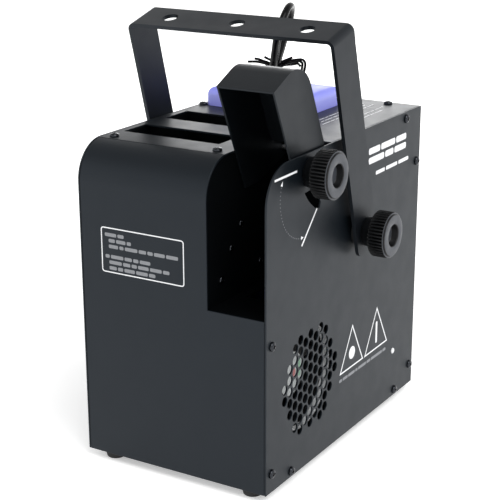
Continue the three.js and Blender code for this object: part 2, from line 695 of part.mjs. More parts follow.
// The rocker's own frame: it turns about X through 0, and rests pressed to one side.
function powerRocker() {
  const halfHeight = SWITCH.height / 2 - 3.2;
  const width = SWITCH.width / 2 - 2.5;
  const shape = polygon([
    [-5, -5], [-5, 5], [4.6, halfHeight], [5.6, halfHeight], [4.4, 0], [5.6, -halfHeight], [4.6, -halfHeight]]
    .reverse());
  return plateX(shape, -width, width).rotateX(radians(SWITCH.tilt));
}

const fuseHolder = () => turnedY([
  [5, -24], [FUSE.radius - GAP, -24], [FUSE.radius - GAP, GAP], [8.5, GAP], [8.5, 3], [5, 3], [5, -24]], 16);

const fuseCap = () => turnedY([
  [0, -18], [4.6, -18], [4.6, 3.4], [7.2, 3.4], [7.2, 9], [6.2, REAR_PROTRUSION], [0, REAR_PROTRUSION]], 16);

const controlBoard = () => join(...BOARD_PARTS.map(({ x, y, z }) => box(x, y, z)));

// ---- Mains lead --------------------------------------------------------------------------------------

const cableGland = () => turnedY([
  [3.7, -6], [7.7, -6], [7.7, GAP], [10.5, GAP], [10.5, 7], [7, 9], [4.6, GLAND.length], [3.7, GLAND.length],
  [3.7, -6]], 14);

// How far the hank's middle stands to the right at a height: it bends over as it rises.
const hankBend = (z) => HANK.lean * Math.max(0, z - HANK.leanFrom) ** 2;

// Half the hank's width at a height: round ends, and a waist where the tie pulls the runs together.
function hankHalfWidth(z) {
  const { bottom, height, halfWidth, waist, waistZ, waistSpread } = HANK;
  const fromEnd = Math.min(z - bottom, bottom + height - z);
  const dip = Math.exp(-(((z - waistZ) / waistSpread) ** 2));
  const wide = halfWidth - (halfWidth - waist) * dip;
  if (fromEnd >= wide) return wide;
  return Math.sqrt(Math.max(0, wide ** 2 - (wide - fromEnd) ** 2));
}

// The hank's outer shape: a tall flat loop, two turns one inside the other, standing on its end.
function cordHank() {
  const { bottom, height, halfDepth, turned } = HANK;
  const steps = 44;
  const heights = Array.from({ length: steps - 1 }, (_, i) =>
    bottom + height * (0.5 - 0.5 * Math.cos(Math.PI * (i + 1) / steps)));
  const outline = [
    [0, bottom],
    ...heights.map((z) => [hankHalfWidth(z), z]),
    [0, bottom + height],
    ...heights.reverse().map((z) => [-hankHalfWidth(z), z]),
  ];
  const flat = plateY(polygon(outline), -halfDepth, halfDepth).rotateZ(radians(turned));
  const position = flat.attributes.position;
  for (let i = 0; i < position.count; i += 1) {
    position.setX(i, position.getX(i) + hankBend(position.getZ(i)));
  }
  return flat;
}

// The tie round its waist.
function hankTie() {
  const { waist, waistZ, halfDepth, turned } = HANK;
  const { clear, wall, halfHeight } = TIE;
  const [u, v] = [waist + clear[0], halfDepth + clear[1]];
  const ring = (grow, half) =>
    box([-u - grow, u + grow], [-v - grow, v + grow], [waistZ - half, waistZ + half]);
  const band = cut(ring(wall, halfHeight), ring(0, halfHeight + 1));
  return band.rotateZ(radians(turned)).translate(hankBend(waistZ), 0, 0);
}

// A point of the hank's own frame: u across its flat side, v out of it, z up.
function hankPoint(u, v, z) {
  const turn = radians(HANK.turned);
  return [
    HANK.x + u * Math.cos(turn) - v * Math.sin(turn),
    HANK.y + u * Math.sin(turn) + v * Math.cos(turn),
    z,
  ];
}

// The quarter turn between the floor and an upright run, from the floor up.
const RUN_BEND = 27;
const CORD_Z = HANK.bottom + CORD_DIAMETER / 2;

function runFoot(u, angles) {
  return angles.map((degrees) => hankPoint(
    u,
    RUN_BEND * (1 - Math.sin(radians(degrees))),
    CORD_Z + RUN_BEND * (1 - Math.cos(radians(degrees)))));
}

// From the gland to the hank's nearer run, and from its farther inner run to the plug, along the floor.
const OUTER_RUN = HANK.halfWidth - CORD_DIAMETER / 2;
const LEAD_POINTS = [
  [50, 152.8, 52], [50, 160, 51.6], [49.5, 168, 48], [47.5, 173, 40], [44, 174.5, 30], [39, 173.5, 19],
  [32, 171.5, 9.5], [23, 169.5, 4.8], [11, 167.5, CORD_Z], [-2, 165.3, CORD_Z], [-16, 162, CORD_Z],
  [-30, 157.2, CORD_Z], [-43.5, 151, CORD_Z],
  ...runFoot(OUTER_RUN, [0, 16, 32, 46]),
];
const TAIL_POINTS = [
  ...runFoot(-OUTER_RUN + CORD_DIAMETER, [46, 32, 16, 0]),
  [-66, 190.7, 4.4], [-59, 192.3, 7.6], [-51, 192.5, 12.4], [-42, 192.5, 17], [-36, 192.5, PLUG.z],
  [PLUG.x, PLUG.y, PLUG.z],
];

const leadTube = (points, steps) => tube(points, CORD_DIAMETER / 2, 8, steps);

// Round two-pin plug lying on its side, pins towards +X. Its cord comes in at x = 0.
function mainsPlug() {
  const shell = turnedX([
    [0, 0.3], [4.5, 0.3], [7, 14], [12, 18], [17.6, 24], [18.6, 32], [18.6, 46], [0, 46]], 18);
  const pins = [-9.5, 9.5].map((y) => turnedX(rod(2.4, 45, 65), 8).translate(0, y, 0));
  return join(shell, ...pins);
}

// ---- Assembly ----------------------------------------------------------------------------------------

const housing = new THREE.Group();
housing.add(
  piece('base_tray', baseTray(), blackPaint),
  piece('front_panel', frontPanel(), blackPaint),
  piece('top_plate', topPlate(), blackPaint),
  piece('left_side_panel', leftSidePanel(), blackPaint),
  piece('right_side_panel', rightSidePanel(), blackPaint),
  piece('back_panel', backPanel(), blackPaint),
  piece('outlet_duct_liner', outletDuctLiner(), blackPaint),
  piece('grip_recess', gripRecess(), blackPaint),
  ...feet(),
  ...screws(),
  piece('heater_block', heaterBlock(), castAluminium),
  piece('heat_shield', heatShield(), brightSteel),
  piece('haze_nozzle', hazeNozzle(), brass),
  piece('fluid_pump', fluidPump(), brightSteel),
  piece('suction_hose', suctionHose(), clearHose),
  piece('feed_pipe', feedPipe(), brass),
  piece('fluid_tank', fluidTank(), lilacTank),
  piece('tank_cap', tankCap(), blackPlastic, [FILLER.x, FILLER.y, 0]),
  piece('fan_frame', fanFrame(), blackPlastic, [0, FAN.y, FAN.z]),
  piece('fan_rotor', fanRotor(), blackPlastic, [FAN_OUTER_X - FAN.depth + ROTOR.from, FAN.y, FAN.z]),
  piece('control_board', controlBoard(), greenBoard),
  piece('display_window', displayWindow(), darkGlass),
  ...menuButtons(),
  piece('dmx_input_socket', dmxSocket(true), blackPlastic, [SOCKETS.xs[0], REAR, SOCKETS.z]),
  piece('dmx_output_socket', dmxSocket(false), blackPlastic, [SOCKETS.xs[1], REAR, SOCKETS.z]),
  piece('power_switch_frame', powerSwitchFrame(), blackPlastic, [SWITCH.x, REAR, SWITCH.z]),
  piece('power_rocker', powerRocker(), blackPlastic, [SWITCH.x, REAR, SWITCH.z]),
  piece('fuse_holder', fuseHolder(), blackPlastic, [FUSE.x, REAR, FUSE.z]),
  piece('fuse_cap', fuseCap(), blackPlastic, [FUSE.x, REAR, FUSE.z]),
  piece('cable_gland', cableGland(), blackPlastic, [GLAND.x, REAR, GLAND.z]),
  ...bracketFittings());

const bracket = piece(
  'mounting_bracket', mountingBracket(), blackPaint, [0, BRACKET_PIVOT.y, BRACKET_PIVOT.z]);
bracket.rotation.x = radians(BRACKET_TILT);
housing.add(bracket);

const hood = new THREE.Group();
hood.position.set(0, HOOD_PIVOT.y, HOOD_PIVOT.z);
const duct = piece('outlet_hood', outletHood(), blackPaint);
duct.rotation.x = radians(HOOD_LEAN);
hood.add(
  duct,
  piece('hood_pivot_shaft', turnedX(rod(STUD_RADIUS, NOTCH_LEFT, INNER_X - GAP), 12), brightSteel),
  piece('hood_clamp_stud', hoodClampStud(), brightSteel, [0, CLAMP_Y, CLAMP_Z]),
  piece('hood_knob', clampKnob(STUD_RADIUS), knobPlastic, [HALF_WIDTH, CLAMP_Y, CLAMP_Z]));
housing.add(hood);

// The housing stands on its feet, and moves forward by half of what stands out behind it.
const rearShift = -REAR_PROTRUSION / 2;
housing.position.set(0, rearShift, FOOT_HEIGHT);

const lead = new THREE.Group();
lead.add(
  piece('mains_cord', leadTube(LEAD_POINTS, 32), blackRubber),
  piece('cord_hank', cordHank(), blackRubber, [HANK.x, HANK.y, 0]),
  piece('hank_tie', hankTie(), blackPlastic, [HANK.x, HANK.y, 0]),
  piece('cord_tail', leadTube(TAIL_POINTS, 20), blackRubber),
  piece('mains_plug', mainsPlug(), blackPlastic, [PLUG.x, PLUG.y, PLUG.z]));

const hazer = new THREE.Group();
hazer.add(housing, lead);

export default hazer;
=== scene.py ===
"""Compact stage hazer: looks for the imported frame. Metres, +Z up, front towards -Y."""
import math

import bmesh
import bpy
from mathutils import Matrix, Vector


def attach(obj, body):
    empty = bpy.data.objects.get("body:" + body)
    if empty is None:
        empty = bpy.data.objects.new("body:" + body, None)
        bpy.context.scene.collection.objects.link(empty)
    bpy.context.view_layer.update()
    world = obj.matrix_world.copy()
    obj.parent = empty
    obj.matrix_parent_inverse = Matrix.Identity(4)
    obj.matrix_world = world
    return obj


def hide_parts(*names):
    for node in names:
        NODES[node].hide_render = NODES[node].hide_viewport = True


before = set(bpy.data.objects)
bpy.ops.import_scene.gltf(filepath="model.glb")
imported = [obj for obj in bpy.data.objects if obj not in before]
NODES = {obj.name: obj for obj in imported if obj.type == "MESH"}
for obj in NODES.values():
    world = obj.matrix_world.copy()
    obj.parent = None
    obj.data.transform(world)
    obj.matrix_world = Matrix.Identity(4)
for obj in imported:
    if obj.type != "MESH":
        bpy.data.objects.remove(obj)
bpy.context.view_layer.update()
MM = 0.001

# Millimetre places are given in the housing's own frame: its underside is z = 0 and its middle is y = 0.
# Pivots and centres are (y, z).
HOUSING_SHIFT = Vector((0, -5, 7))
WIDTH, DEPTH, HEIGHT, SHEET = 171, 267, 260, 1.5
GAP = 0.3
SIDE = WIDTH / 2
FRONT = -DEPTH / 2
REAR = DEPTH / 2
CORNER_RADIUS = 31
HOOD_PIVOT = (-20.7, 249.5)
# The hood's clamp: its distance from the pivot, and the degrees that it stands below the pivot's level.
CLAMP_RADIUS, CLAMP_DROP = 49, 5.2
BRACKET_PIVOT = (13.5, 178)
BRACKET_HALF_SPAN = 94
FAN_CENTRE = (-63.5, 74)
# The last of these is how far the painted light band reaches into the fan's bore from its front.
FAN_DEPTH, FAN_SET_BACK, FAN_BORE, FAN_PAINTED_LIGHT_DEPTH = 38, 5, 43.5, 5.4
FAN_INNER_X = SIDE - SHEET - GAP - FAN_SET_BACK - FAN_DEPTH
FAN_PAINTED_LIGHT_X = FAN_INNER_X + FAN_DEPTH - FAN_PAINTED_LIGHT_DEPTH
ROTOR_HUB, ROTOR_TIP, ROTOR_LENGTH, ROTOR_FROM = 20, 41.3, 21.3, 6
CORD_DIAMETER = 6.8


def link(thing):
    bpy.context.scene.collection.objects.link(thing)
    return thing


# ---- Materials -----------------------------------------------------------
# Noise scales are per metre, and bump distances are in metres.


def srgb(r, g, b):
    """A colour from 0 to 255 per channel, as the linear values that a shader takes."""
    def channel(c):
        c /= 255
        return c / 12.92 if c <= 0.04045 else ((c + 0.055) / 1.055) ** 2.4
    return (channel(r), channel(g), channel(b), 1)


class Shader:
    """A Principled material with its node tree, in object coordinates."""

    def __init__(self, name, colour, roughness, metallic=0.0, **sockets):
        self.material = bpy.data.materials.new(name)
        self.material.use_nodes = True
        self.nodes = self.material.node_tree.nodes
        self.links = self.material.node_tree.links
        self.bsdf = self.nodes["Principled BSDF"]
        self.bsdf.inputs["Base Color"].default_value = colour
        self.bsdf.inputs["Roughness"].default_value = roughness
        self.bsdf.inputs["Metallic"].default_value = metallic
        for socket, value in sockets.items():
            self.bsdf.inputs[socket.replace("_", " ")].default_value = value
        coordinates = self.nodes.new("ShaderNodeTexCoord")
        self.place = coordinates.outputs["Object"]
        self.outward = coordinates.outputs["Normal"]
        self.normal = None

    def noise(self, scale, detail=2.0):
        noise = self.nodes.new("ShaderNodeTexNoise")
        noise.inputs["Scale"].default_value = scale
        noise.inputs["Detail"].default_value = detail
        self.links.new(self.place, noise.inputs["Vector"])
        return noise.outputs["Fac"]

    def split(self, vector):
        """The X, Y and Z outputs of a vector."""
        parts = self.nodes.new("ShaderNodeSeparateXYZ")
        self.links.new(vector, parts.inputs["Vector"])
        return parts.outputs

    def calculate(self, operation, *factors):
        step = self.nodes.new("ShaderNodeMath")
        step.operation = operation
        for factor, socket in zip(factors, step.inputs):
            self.links.new(factor, socket)
        return step.outputs["Value"]

    def between(self, factor, low, high, fraction=(0.3, 0.7)):
        """The factor's middle range, spread from one number to another."""
        spread = self.nodes.new("ShaderNodeMapRange")
        spread.inputs["From Min"].default_value = fraction[0]
        spread.inputs["From Max"].default_value = fraction[1]
        spread.inputs["To Min"].default_value = low
        spread.inputs["To Max"].default_value = high
        self.links.new(factor, spread.inputs["Value"])
        return spread.outputs["Result"]

    def colours(self, factor, stops):
        """The base colour, from (place, colour) stops along a factor."""
        ramp = self.nodes.new("ShaderNodeValToRGB")
        elements = ramp.color_ramp.elements
        while len(elements) < len(stops):
            elements.new(0.5)
        for element, (at, colour) in zip(elements, stops):
            element.position = at
            element.color = colour
        self.links.new(factor, ramp.inputs["Fac"])
        self.links.new(ramp.outputs["Color"], self.bsdf.inputs["Base Color"])
        return self

    def rough(self, factor, low, high):
        self.links.new(self.between(factor, low, high), self.bsdf.inputs["Roughness"])

    def bump(self, factor, strength, distance):
        bump = self.nodes.new("ShaderNodeBump")
        bump.inputs["Strength"].default_value = strength
        bump.inputs["Distance"].default_value = distance
        self.links.new(factor, bump.inputs["Height"])
        if self.normal:
            self.links.new(self.normal, bump.inputs["Normal"])
        self.normal = bump.outputs["Normal"]
        self.links.new(self.normal, self.bsdf.inputs["Normal"])


def shade(colour, by):
    return tuple(c * by for c in colour[:3]) + (1,)


def mottled(shader, colour, scale, spread):
    """Slight uneven tone, as a real surface has."""
    return shader.colours(
        shader.noise(scale, 3), [(0.3, shade(colour, 1 - spread)), (0.7, shade(colour, 1 + spread))])


def powder_coat(name, colour, roughness=0.42, gloss=0.36):
    coat = Shader(name, colour, roughness, Specular_IOR_Level=gloss, Specular_Tint=(0.78, 0.88, 1.0, 1))
    mottled(coat, colour, 14, 0.04)
    coat.rough(coat.noise(60), roughness - 0.02, roughness + 0.03)
    coat.bump(coat.noise(1500, 3), 0.32, 0.00012)
    coat.bump(coat.noise(240, 2), 0.1, 0.0002)
    return coat.material


def moulded(name, colour, roughness=0.5, grain=0.2):
    plastic = Shader(name, colour, roughness)
    mottled(plastic, colour, 40, 0.08)
    plastic.rough(plastic.noise(160), roughness - 0.05, roughness + 0.06)
    plastic.bump(plastic.noise(2600, 2), grain, 0.00008)
    return plastic.material


def plated(name, colour, roughness):
    metal = Shader(name, colour, roughness, 1.0)
    mottled(metal, colour, 90, 0.08)
    metal.rough(metal.noise(700), roughness - 0.08, roughness + 0.1)
    metal.bump(metal.noise(1200), 0.12, 0.00005)
    return metal.material


def printed(name, colour):
    ink = Shader(name, colour, 0.55)
    mottled(ink, colour, 900, 0.07)
    ink.bump(ink.noise(2500), 0.1, 0.00003)
    return ink.material


def jacket(name, colour):
    """The lead's smooth, slightly glossy sheath."""
    rubber = Shader(name, colour, 0.22, Specular_IOR_Level=0.14)
    mottled(rubber, colour, 60, 0.12)
    rubber.rough(rubber.noise(220), 0.16, 0.28)
    rubber.bump(rubber.noise(1600, 2), 0.12, 0.00006)
    return rubber.material


def tank_plastic_painted_shade():
    """Milky violet, with painted shade: dark low down inside the case, pale up its sides, deeper again across
    its top.
    """
    tank = Shader("tank_plastic_painted_shade", srgb(120, 118, 232), 0.4, Specular_IOR_Level=0.3,
                  Subsurface_Weight=0.2, Subsurface_Scale=0.008, Subsurface_Radius=(0.6, 0.6, 1.0))
    height = tank.between(tank.split(tank.place)["Z"], 0, 1, (0.240, 0.290))
    # The lowest stop is painted shade: the tank darkens where it stands down inside the case.
    tank.colours(height, [
        (0.0, srgb(58, 58, 128)),
        (0.42, srgb(142, 144, 242)),
        (0.72, srgb(170, 174, 251)),
        (0.84, srgb(138, 144, 236))])
    tank.rough(tank.noise(90), 0.4, 0.5)
    tank.bump(tank.noise(260, 2), 0.06, 0.0001)
    return tank.material


def knob_plastic():
    """Black grips, with a paler face where the surface faces along the knob's axis."""
    grip, face = srgb(9, 10, 12), srgb(62, 65, 71)
    knob = Shader("knob_plastic", grip, 0.4, Specular_IOR_Level=0.34)
    along_axis = knob.calculate("ABSOLUTE", knob.split(knob.outward)["X"])
    knob.colours(along_axis, [(0.9, grip), (0.97, face)])
    knob.rough(knob.noise(160), 0.34, 0.46)
    knob.bump(knob.noise(2600, 2), 0.14, 0.00008)
    return knob.material


def fan_casing_painted_light():
    """Black all over but for painted light: a pale band round the front lip of the bore that the blades turn
    in.
    """
    fade = 0.8
    casing = Shader("fan_casing_painted_light", srgb(10, 10, 11), 0.5)
    flat = casing.nodes.new("ShaderNodeMapping")
    flat.inputs["Scale"].default_value = (0, 1, 1)
    casing.links.new(casing.place, flat.inputs["Vector"])
    reach = casing.nodes.new("ShaderNodeVectorMath")
    reach.operation = "DISTANCE"
    reach.inputs[1].default_value = (0, *((Vector((0, *FAN_CENTRE)) + HOUSING_SHIFT) * MM)[1:])
    casing.links.new(flat.outputs["Vector"], reach.inputs[0])
    inside = casing.between(reach.outputs["Value"], 1, 0, (FAN_BORE * MM, (FAN_BORE + fade) * MM))
    lip = casing.between(casing.split(casing.place)["X"], 0, 1, ((FAN_PAINTED_LIGHT_X - fade) * MM, FAN_PAINTED_LIGHT_X * MM))
    # Painted light: the bore's wall is pale only near its front, where light through the grille falls;
    # further in it stays black.
    pale = casing.calculate("MULTIPLY", inside, lip)
    casing.colours(pale, [(0.1, srgb(8, 8, 9)), (0.9, srgb(232, 234, 236))])
    casing.bump(casing.noise(900, 2), 0.15, 0.00006)
    return casing.material


def circuit_green():
    """Green mask with paler tracks."""
    board = Shader("solder_mask", srgb(24, 84, 50), 0.35)
    tracks = board.noise(260, 0)
    board.colours(tracks, [(0.46, srgb(22, 78, 46)), (0.5, srgb(44, 112, 66))])
    board.bump(tracks, 0.3, 0.00005)
    return board.material


PAINT = powder_coat("powder_coat", srgb(7, 12, 17))
# Painted shade: a blacker coat than the body's, for the duct's liner and the grip recess, which lie in
# shadow.
RECESS_SHADE_PAINT = powder_coat("powder_coat_recess_painted_shade", srgb(2, 3, 4), 0.6, 0.1)
BRACKET_PAINT = powder_coat("powder_coat_bracket", srgb(9, 12, 16), 0.46, 0.4)
HOOD_PAINT = powder_coat("powder_coat_hood", srgb(6, 9, 12), 0.4, 0.32)
KNOB = knob_plastic()
BLACK_PLASTIC = moulded("black_plastic", srgb(15, 16, 18), 0.45)
GREY_PLASTIC = moulded("button_plastic", srgb(70, 72, 76), 0.5)
RED_PLASTIC = moulded("rocker_plastic", srgb(150, 18, 14), 0.32)
WHITE_PLASTIC = moulded("white_pin_plastic", srgb(225, 226, 228), 0.4, 0.1)
FOOT_RUBBER = moulded("foot_rubber", srgb(24, 24, 25), 0.75, 0.4)
JACKET = jacket("cord_jacket", srgb(9, 9, 10))
SCREW_BLACK = plated("black_zinc", srgb(58, 60, 64), 0.18)
STEEL = plated("zinc_plate", srgb(196, 198, 200), 0.3)
CAST = plated("cast_aluminium", srgb(188, 190, 192), 0.46)
FAN_CASING = fan_casing_painted_light()
FAN_BLACK = moulded("fan_plastic", srgb(6, 6, 7), 0.6)
STICKER = printed("fan_label", srgb(206, 210, 210))
LABEL_RED = printed("label_red", srgb(196, 128, 130))
LABEL_GREEN = printed("label_green", srgb(158, 196, 170))
BRASS = plated("brass", srgb(196, 158, 84), 0.3)
INK = printed("white_ink", srgb(232, 233, 235))
INK_FAINT = printed("grey_ink", srgb(128, 130, 134))
TANK = tank_plastic_painted_shade()
HOSE = moulded("clear_hose", srgb(206, 210, 208), 0.25, 0.1)
BOARD = circuit_green()
SCREEN_GLASS = srgb(10, 24, 40)
SCREEN = mottled(Shader("screen", SCREEN_GLASS, 0.08, Coat_Weight=0.6), SCREEN_GLASS, 120, 0.1).material
SEGMENTS = srgb(120, 200, 255)
GLOW = Shader("screen_segments", SEGMENTS, 0.4, Emission_Strength=0.6, Emission_Color=SEGMENTS).material

# ---- Mesh forms ----------------------------------------------------------

SMOOTH_UP_TO = math.radians(38)
FLAT_UP_TO = math.radians(17)
RIDGED_UP_TO = math.radians(50)


def new_piece(name, mesh, material, slot, body="housing", replaces=(), smooth=SMOOTH_UP_TO):
    """An object that rides a body; edges flatter than smooth are shaded as one surface."""
    mesh.materials.clear()
    mesh.materials.append(material)
    mesh.polygons.foreach_set("use_smooth", [True] * len(mesh.polygons))
    mesh.set_sharp_from_angle(angle=smooth)
    piece = link(bpy.data.objects.new(name, mesh))
    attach(piece, body)
    if replaces:
        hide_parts(*replaces)
    return piece


def mesh_from(name, build):
    """A mesh made by a function that fills a bmesh in millimetres of the housing's frame."""
    bm = bmesh.new()
    build(bm)
    bmesh.ops.remove_doubles(bm, verts=bm.verts, dist=1e-4)
    bmesh.ops.recalc_face_normals(bm, faces=bm.faces)
    bmesh.ops.translate(bm, verts=bm.verts, vec=HOUSING_SHIFT)
    bmesh.ops.scale(bm, verts=bm.verts, vec=(MM, MM, MM))
    mesh = bpy.data.meshes.new(name)
    bm.to_mesh(mesh)
    bm.free()
    return mesh


# Each matrix turns a form drawn round Z to stand along the named axis.
AXES = {
    "x": Matrix(((0, 0, 1), (1, 0, 0), (0, 1, 0))).to_4x4(),
    "y": Matrix(((0, 1, 0), (0, 0, 1), (1, 0, 0))).to_4x4(),
    "z": Matrix.Identity(4),
}


def lathe(bm, profile, axis, at, sides=48, radius_at=None, side=1):
    """A turned form from (radius, distance along the axis) pairs; radius_at may flute it."""
    turn = Matrix.Translation(Vector(at)) @ AXES[axis] @ Matrix.Scale(side, 4, (0, 0, 1))
    rings = []
    for radius, along in profile:
        if radius == 0:
            rings.append([bm.verts.new(turn @ Vector((0, 0, along)))])
            continue
        ring = []
        for i in range(sides):
            angle = 2 * math.pi * i / sides
            r = radius_at(radius, along, angle) if radius_at else radius
            ring.append(bm.verts.new(turn @ Vector((r * math.cos(angle), r * math.sin(angle), along))))
        rings.append(ring)
    for low, high in zip(rings, rings[1:]):
        for i in range(sides):
            j = (i + 1) % sides
            corners = [low[i % len(low)], low[j % len(low)], high[j % len(high)], high[i % len(high)]]
            corners = list(dict.fromkeys(corners))
            if len(corners) > 2:
                bm.faces.new(corners)


def block(bm, low, high, edge, segments=2):
    """A box with its edges rounded."""
    part = bmesh.new()
    bmesh.ops.create_cube(part, size=1)
    size = [h - l for l, h in zip(low, high)]
    bmesh.ops.scale(part, verts=part.verts, vec=size)
    bmesh.ops.bevel(part, geom=part.edges[:], offset=edge, segments=segments, profile=0.5, affect="EDGES")
    bmesh.ops.translate(part, vec=[(l + h) / 2 for l, h in zip(low, high)], verts=part.verts)
    held = bpy.data.meshes.new("held")
    part.to_mesh(held)
    part.free()
    bm.from_mesh(held)
    bpy.data.meshes.remove(held)


def circle(u, v, radius, count=24, start=0.0):
    """Points round a circle; with few of them, a regular polygon."""
    return [
        (u + radius * math.cos(start + 2 * math.pi * i / count),
         v + radius * math.sin(start + 2 * math.pi * i / count)) for i in range(count)]


def rounded_rectangle(u0, u1, v0, v1, radius, steps=5):
    centres = [(u1 - radius, v1 - radius), (u0 + radius, v1 - radius),
               (u0 + radius, v0 + radius), (u1 - radius, v0 + radius)]
    points = []
    for quarter, (u, v) in enumerate(centres):
        for i in range(steps + 1):
            angle = math.pi / 2 * (quarter + i / steps)
            points.append((u + radius * math.cos(angle), v + radius * math.sin(angle)))
    return points


# Each matrix lays a drawing in (u, v) across the named axis, with u level and v up where it can be.
PLANES = {
    "x": Matrix(((0, 0, 1), (1, 0, 0), (0, 1, 0))).to_4x4(),
    "y": Matrix(((1, 0, 0), (0, 0, -1), (0, 1, 0))).to_4x4(),
    "z": Matrix.Identity(4),
}


def plate(name, outlines, plane, low, high, edge=0.0):
    """A flat plate with holes, from outlines in its plane; low and high are along its normal's axis."""
    curve = bpy.data.curves.new(name, "CURVE")
    curve.dimensions = "2D"
    curve.fill_mode = "BOTH"
    curve.extrude = ((high - low) / 2 - edge) * MM
    curve.bevel_depth = edge * MM
    curve.offset = -edge * MM
    curve.bevel_resolution = 1
    for outline in outlines:
        spline = curve.splines.new("POLY")
        spline.points.add(len(outline) - 1)
        spline.points.foreach_set("co", [c for u, v in outline for c in (u * MM, v * MM, 0, 1)])
        spline.use_cyclic_u = True
    holder = link(bpy.data.objects.new(name, curve))
    mesh = bpy.data.meshes.new_from_object(holder.evaluated_get(bpy.context.evaluated_depsgraph_get()))
    bpy.data.objects.remove(holder)
    bpy.data.curves.remove(curve)
    middle = (low + high) / 2 * (-1 if plane == "y" else 1)
    lift = Matrix.Translation((0, 0, middle * MM))
    bm = bmesh.new()
    bm.from_mesh(mesh)
    bmesh.ops.remove_doubles(bm, verts=bm.verts, dist=1e-6)
    bmesh.ops.transform(
        bm, verts=bm.verts, matrix=Matrix.Translation(HOUSING_SHIFT * MM) @ PLANES[plane] @ lift)
    bmesh.ops.recalc_face_normals(bm, faces=bm.faces)
    bm.to_mesh(mesh)
    bm.free()
    return mesh


def built_piece(name, build, material, slot, *options):
    return new_piece(name, mesh_from(name, build), material, slot, *options)


def flat_piece(name, outlines, plane, span, material, slot, body="housing", replaces=(),
               smooth=SMOOTH_UP_TO, edge=0.0):
    """A piece cut as a flat plate; span is its two faces' places along the plane's axis."""
    return new_piece(name, plate(name, outlines, plane, *span, edge), material, slot, body, replaces, smooth)


def arc(centre, radius, from_degrees, to_degrees, count):
    """Points along an arc, anticlockwise from the first angle."""
    u, v = centre
    step = (to_degrees - from_degrees) / (count - 1)
    angles = [math.radians(from_degrees + step * i) for i in range(count)]
    return [(u + radius * math.cos(a), v + radius * math.sin(a)) for a in angles]


def stroke(points, width):
    """The outline of a line of one width through points."""
    left, right = [], []
    for i, (u, v) in enumerate(points):
        before = points[max(i - 1, 0)]
        after = points[min(i + 1, len(points) - 1)]
        along = Vector((after[0] - before[0], after[1] - before[1])).normalized()
        across = Vector((-along.y, along.x)) * width / 2
        left.append((u + across.x, v + across.y))
        right.append((u - across.x, v - across.y))
    return left + right[::-1]


# ---- CAD nodes that keep their shape -------------------------------------


def dress(names, material, edge=0.5, segments=2, angle=28):
    """A material and softly rounded edges for CAD nodes."""
    for name in names:
        node = NODES[name]
        mesh = node.data
        mesh.materials.clear()
        mesh.materials.append(material)
        if "custom_normal" in mesh.attributes:
            mesh.attributes.remove(mesh.attributes["custom_normal"])
        mesh.polygons.foreach_set("use_smooth", [True] * len(mesh.polygons))
        weld = node.modifiers.new("weld", "WELD")
        weld.merge_threshold = 1e-6
        flat = node.modifiers.new("flat", "DECIMATE")
        flat.decimate_type = "DISSOLVE"
        flat.angle_limit = math.radians(0.5)
        bevel = node.modifiers.new("bevel", "BEVEL")
        bevel.width = edge * MM
        bevel.segments = segments
        bevel.limit_method = "ANGLE"
        bevel.angle_limit = math.radians(angle)
        bevel.harden_normals = True
        bevel.use_clamp_overlap = True


dress(["base_tray", "front_panel", "top_plate", "left_side_panel", "back_panel"], PAINT)
# These recesses take the blacker coat as painted shade.
dress(["outlet_duct_liner", "grip_recess"], RECESS_SHADE_PAINT, 0.3)
dress(["mounting_bracket"], BRACKET_PAINT, 0.6)
dress(["outlet_hood"], HOOD_PAINT, 0.7, 3)
dress(["heater_block"], CAST, 1.0)
dress(["heat_shield", "hood_pivot_shaft", "hood_clamp_stud"], STEEL, 0.3)
dress(["bracket_stud_left", "bracket_stud_right"], STEEL, 0.3)
dress(["fluid_pump"], STEEL, 0.6)
dress(["haze_nozzle", "feed_pipe"], BRASS, 0.2)
dress(["suction_hose"], HOSE, 0.3)
dress(["control_board"], BOARD, 0.3)
dress(["display_window"], SCREEN, 0.4)
dress(["bracket_spacer_left", "bracket_spacer_right"], BLACK_PLASTIC, 0.5)
dress(["dmx_input_socket", "dmx_output_socket", "power_switch_frame", "fuse_holder"], BLACK_PLASTIC, 0.4)
dress(["power_rocker"], RED_PLASTIC, 0.8, 3)
dress([f"menu_button_{i}" for i in range(1, 5)], GREY_PLASTIC, 0.6, 3)
dress(["fan_frame"], FAN_CASING, 0.3)

# ---- Right side panel: round-holed grille and arc slot -------------------


def housing_side_outline():
    corner = arc((FRONT + CORNER_RADIUS, HEIGHT - CORNER_RADIUS), CORNER_RADIUS, 90, 180, 25)
    return [(FRONT, 0), (REAR, 0), (REAR, HEIGHT)] + corner


GRILLE_RADIUS, GRILLE_PITCH, GRILLE_HOLE = 46, 9.6, 4.0
BRACKET_STUD_HOLE = 4.3


def grille_holes():
    """Round holes in staggered columns, as far as the grille's radius."""
    column_step = GRILLE_PITCH * math.sqrt(3) / 2
    columns = int(GRILLE_RADIUS // column_step)
    rows = int(GRILLE_RADIUS // GRILLE_PITCH) + 1
    holes = []
    for column in range(-columns, columns + 1):
        for row in range(-rows, rows + 1):
            u = column * column_step
            v = (row + (0.5 if column % 2 else 0)) * GRILLE_PITCH
            if math.hypot(u, v) + GRILLE_HOLE < GRILLE_RADIUS + 1:
                holes.append(circle(FAN_CENTRE[0] + u, FAN_CENTRE[1] + v, GRILLE_HOLE))
    return holes


# The clamp's arc slot, as (degrees below the level of the pivot, distance from it), once round its edge.
SLOT_EDGE = [
    (-0.3, 54.2), (7, 54.2), (13.5, 54.6), (16.5, 57.8), (20.8, 58.7), (27, 56.9), (32, 55.3), (37, 53.7),
    (43.5, 52), (49.6, 48.4), (47.5, 43.7), (35, 43.7), (23, 43.7), (11, 43.7), (-0.3, 43.7)]


def clamp_slot():
    return [(HOOD_PIVOT[0] - distance * math.cos(math.radians(drop)),
             HOOD_PIVOT[1] - distance * math.sin(math.radians(drop))) for drop, distance in SLOT_EDGE]


